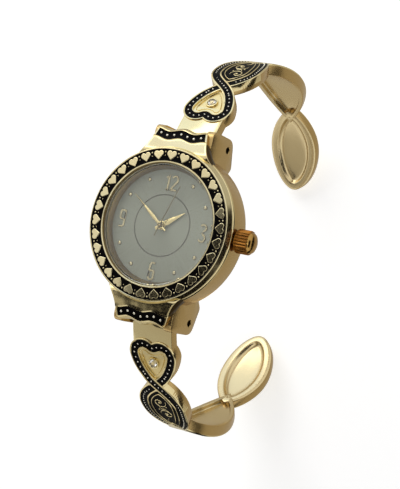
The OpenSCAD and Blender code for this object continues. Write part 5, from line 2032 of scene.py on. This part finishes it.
@dataclass
class Spring:
    """The torsion spring wound round a hinge pin."""

    wire: float = 0.14
    mean: float = 0.9
    turns: int = 10
    pitch: float = 0.3
    steps: int = 20

    def build(self, side: Side) -> None:
        """Makes one spring as a round wire swept along its helix, with a leg at each end.

        Args:
            side: the end of the head whose hinge it sits in.
        """
        half = self.pitch * self.turns / 2
        near = PIN_Y - self.mean
        path = [Vector((-half + 0.2, near - 0.4, PIN_Z + 1.7)), Vector((-half + 0.15, near, PIN_Z + 0.2))]
        count = self.turns * self.steps
        for i in range(count + 1):
            a = math.pi + 2 * math.pi * self.turns * i / count + math.pi * i / count
            x = -half + self.wire + (2 * half - 2 * self.wire) * i / count
            path.append(Vector((x, PIN_Y + self.mean * math.cos(a), PIN_Z - self.mean * math.sin(a))))
        path.append(Vector((half - 0.2, PIN_Y + self.mean, PIN_Z + 0.95)))
        skin = Skin()
        angles = [math.pi / 4 * k for k in range(8)]
        corners = [(self.wire * math.cos(a), self.wire * math.sin(a), 0) for a in angles]
        rings = []
        for i, p in enumerate(path):
            turn = heading(path, i).to_track_quat("Z", "X").to_matrix()
            rings.append([p + turn @ Vector(c) for c in corners])
        skin.tube(rings)
        name = f"{side.label}_hinge_spring"
        dress(f"{name}_coil", "case", skin, [SPRING_STEEL], [name], side.turn, crease=60)


# The studio


@dataclass(frozen=True)
class Card:
    """A studio card that is seen only in reflections, and so gives the metal its tones.

    It stands at a point and faces its target. It looks strength times as bright as its shade.
    """

    name: str
    at: Point3
    size: Point2
    shade: str
    target: Point3 = (0, 0, 0)
    strength: float = 1.0


CARDS = (
    # the room and the table: a warm grey in the flanks, and a dark line beside each highlight
    Card("low_card", (-160, -330, 260), (700, 420), "#BEBBB4"),
    Card("right_dark_card", (330, -60, 150), (420, 260), "#1C1A18"),
    Card("floor_card", (60, -20, -42), (260, 300), "#C8C4BA", (60, -20, 100)),
    # dark cards overhead, which the glass and the faces that look up or to the lower left mirror
    Card("overhead_dark_card", (-24, -39, 250), (168, 162), "#0A0808", (-24, -39, 0)),
    Card("corner_dark_card", (-134, -68, 250), (56, 104), "#0A0808", (-134, -68, 0)),
    Card("lower_dark_card", (-126, -200, 245), (92, 160), "#0A0808", (-126, -200, 0)),
    # dark cloths on the table, for the walls that look down
    Card("floor_dark_right", (130, 0, -41.5), (140, 120), "#15120E", (130, 0, 100)),
    Card("floor_dark_low", (42, -112, -41.5), (126, 120), "#15120E", (42, -112, 100)),
    # cool white behind the upper arm and over the hoods' roofs
    Card("upper_white_card", (-200, 380, 75), (330, 210), "#E2EEFF", strength=1.5),
    Card("roof_card", (-176, 230, 246), (110, 110), "#DDE8FF", strength=1.5),
)


@dataclass
class Studio:
    """Floor, world, lamps and camera."""

    floor_z: float = -43.6
    floor_half_m: float = 1.6
    eye: Point3 = (92.41158, -9.63027, 168.88080)
    right: Point3 = (0.86976331, 0.2182175, -0.4425979)
    up: Point3 = (-0.17441675, 0.97496206, 0.13794123)
    back: Point3 = (0.46161735, -0.04277973, 0.88604702)
    # the photograph is 489 pixels high, and its focal length was fitted as 1200 pixels
    focal_px: float = 1200
    photo_px: float = 489
    sensor: float = 36

    def camera(self) -> None:
        """Places the camera where the photograph was taken from."""
        data = bpy.data.cameras.new("photo_camera")
        data.sensor_fit = "VERTICAL"
        data.sensor_height = self.sensor
        data.lens = self.focal_px * self.sensor / self.photo_px
        data.clip_start, data.clip_end = 0.01, 10.0
        holder = bpy.data.objects.new("photo_camera", data)
        turn = Matrix((self.right, self.up, self.back)).transposed().to_4x4()
        holder.matrix_world = Matrix.Translation(Vector(self.eye) * MM) @ turn
        bpy.context.scene.collection.objects.link(holder)
        bpy.context.scene.camera = holder

    def seen(self, tree: Tree) -> Socket:
        """Tells the rays that the eye sees by from those that light the object.

        Args:
            tree: the node tree.

        Returns:
            One for a ray from the camera, a reflection or a transmission, and zero elsewhere.
        """
        path = add(tree, "ShaderNodeLightPath")
        first = maths(tree, "MAXIMUM", path.outputs["Is Camera Ray"], path.outputs["Is Glossy Ray"])
        return maths(tree, "MAXIMUM", first, path.outputs["Is Transmission Ray"])

    def world(self) -> None:
        """A white room for the eye, with a plain level of light on the object."""
        world = bpy.data.worlds.new("white_room")
        bpy.context.scene.world = world
        world.use_nodes = True
        tree = world.node_tree
        tree.nodes.clear()
        soft = add(tree, "ShaderNodeBackground", {"Color": linear("#F4F4F4"), "Strength": 0.4})
        white = add(tree, "ShaderNodeBackground", {"Color": (1, 1, 1, 1), "Strength": 1.0})
        mixed = add(
            tree,
            "ShaderNodeMixShader",
            {0: self.seen(tree), 1: soft.outputs["Background"], 2: white.outputs["Background"]},
        )
        add(tree, "ShaderNodeOutputWorld", {"Surface": mixed.outputs["Shader"]})

    def floor(self) -> None:
        """A pale floor that keeps the object's soft shadow."""
        size, z = self.floor_half_m, self.floor_z * MM
        mesh = bpy.data.meshes.new("pale_floor")
        corners = [(-size, -size, z), (size, -size, z), (size, size, z), (-size, size, z)]
        mesh.from_pydata(corners, [], [(0, 1, 2, 3)])
        made = blank_material("pale_paper")
        tree = made.node_tree
        paper = add(tree, "ShaderNodeBsdfDiffuse", {"Color": linear("#F2F2F2")})
        glow = add(tree, "ShaderNodeEmission", {"Color": (1, 1, 1, 1), "Strength": 0.55})
        lit = add(tree, "ShaderNodeAddShader", {0: paper.outputs["BSDF"], 1: glow.outputs["Emission"]})
        ways = {0: self.seen(tree), 1: paper.outputs["BSDF"], 2: lit.outputs["Shader"]}
        mixed = add(tree, "ShaderNodeMixShader", ways)
        add(tree, "ShaderNodeOutputMaterial", {"Surface": mixed.outputs["Shader"]})
        mesh.materials.append(made)
        floor = bpy.data.objects.new("pale_floor", mesh)
        bpy.context.scene.collection.objects.link(floor)

    def aimed(self, at: Vector, target: Vector) -> Matrix:
        """The placing of something flat at one point that faces another, both in millimetres."""
        return Matrix.Translation(at * MM) @ facing(at - target)

    def card(self, card: Card) -> None:
        """Sets up one card.

        Args:
            card: what it is and where it stands.
        """
        mesh = bpy.data.meshes.new(card.name)
        w, h = card.size[0] / 2 * MM, card.size[1] / 2 * MM
        mesh.from_pydata([(-w, -h, 0), (w, -h, 0), (w, h, 0), (-w, h, 0)], [], [(0, 1, 2, 3)])
        made = blank_material(card.name)
        tree = made.node_tree
        glow = add(tree, "ShaderNodeEmission", {"Color": linear(card.shade), "Strength": card.strength})
        add(tree, "ShaderNodeOutputMaterial", {"Surface": glow.outputs["Emission"]})
        mesh.materials.append(made)
        holder = bpy.data.objects.new(card.name, mesh)
        holder.matrix_world = self.aimed(Vector(card.at), Vector(card.target))
        holder.visible_camera = False
        holder.visible_diffuse = False
        holder.visible_shadow = False
        holder.visible_transmission = False
        bpy.context.scene.collection.objects.link(holder)

    def lamp(self, name: str, at: Vector, size: float, glow: float) -> None:
        """A square soft lamp that faces the watch.

        Args:
            name: the lamp's name.
            at: its middle.
            size: the length of its side.
            glow: how bright it looks, where 1 is white.
        """
        data = bpy.data.lights.new(name, "AREA")
        data.shape = "SQUARE"
        data.size = size * MM
        # such a lamp looks as bright as a quarter of its watts over its area
        data.energy = glow * 4 * (size * MM) ** 2
        holder = bpy.data.objects.new(name, data)
        holder.matrix_world = self.aimed(at, Vector((0, 0, 0)))
        bpy.context.scene.collection.objects.link(holder)

    def build(self) -> None:
        """Sets up the whole studio."""
        self.camera()
        self.world()
        self.floor()
        self.lamp("top_softbox", Vector((-215, 330, 270)), size=380, glow=1.6)
        self.lamp("side_softbox", Vector((320, -120, 260)), size=160, glow=1.2)
        for card in CARDS:
            self.card(card)
        bpy.context.scene.view_settings.view_transform = "Standard"


def finish_frame_nodes(record: dict[str, Any]) -> None:
    """Gives every node that still shows the finish of its slot.

    Args:
        record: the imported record, which names each node's slot.
    """
    for part in record["subparts"]:
        node = frame["nodes"][part["node"]]
        finish = SLOT_FINISH[part["material_slot"]]
        node.data.materials.clear()
        node.data.materials.append(finish.material())


def main() -> None:
    """Builds the watch's pieces in order, then the studio."""
    logging.basicConfig(level=logging.INFO, format="%(name)s: %(message)s")
    finish_frame_nodes(frame["record"])
    Case().build()
    Bezel().build()
    DialSet().build()
    # length, width, tail, hub and bore; then the height that it turns at and its angle at rest
    hands = (
        Hand("hour_hand", "hours_group", 4.5, 0.95, 1.1, 0.72, 0.46, height=5.32, angle=-55.5),
        Hand("minute_hand", "minutes_group", 7.2, 0.56, 1.3, 0.55, 0.26, height=5.59, angle=-306.0),
        Hand("second_hand", "seconds_group", 6.8, 0.16, 1.9, 0.34, 0.09, 5.86, angle=-18.0, slender=True),
    )
    for hand in hands:
        hand.build()
    Crown().build()
    CaseBack().build()
    for side in Side:
        Arm().build(side)
        Spring().build(side)
    Studio().build()


if __name__ == "__main__":
    main()
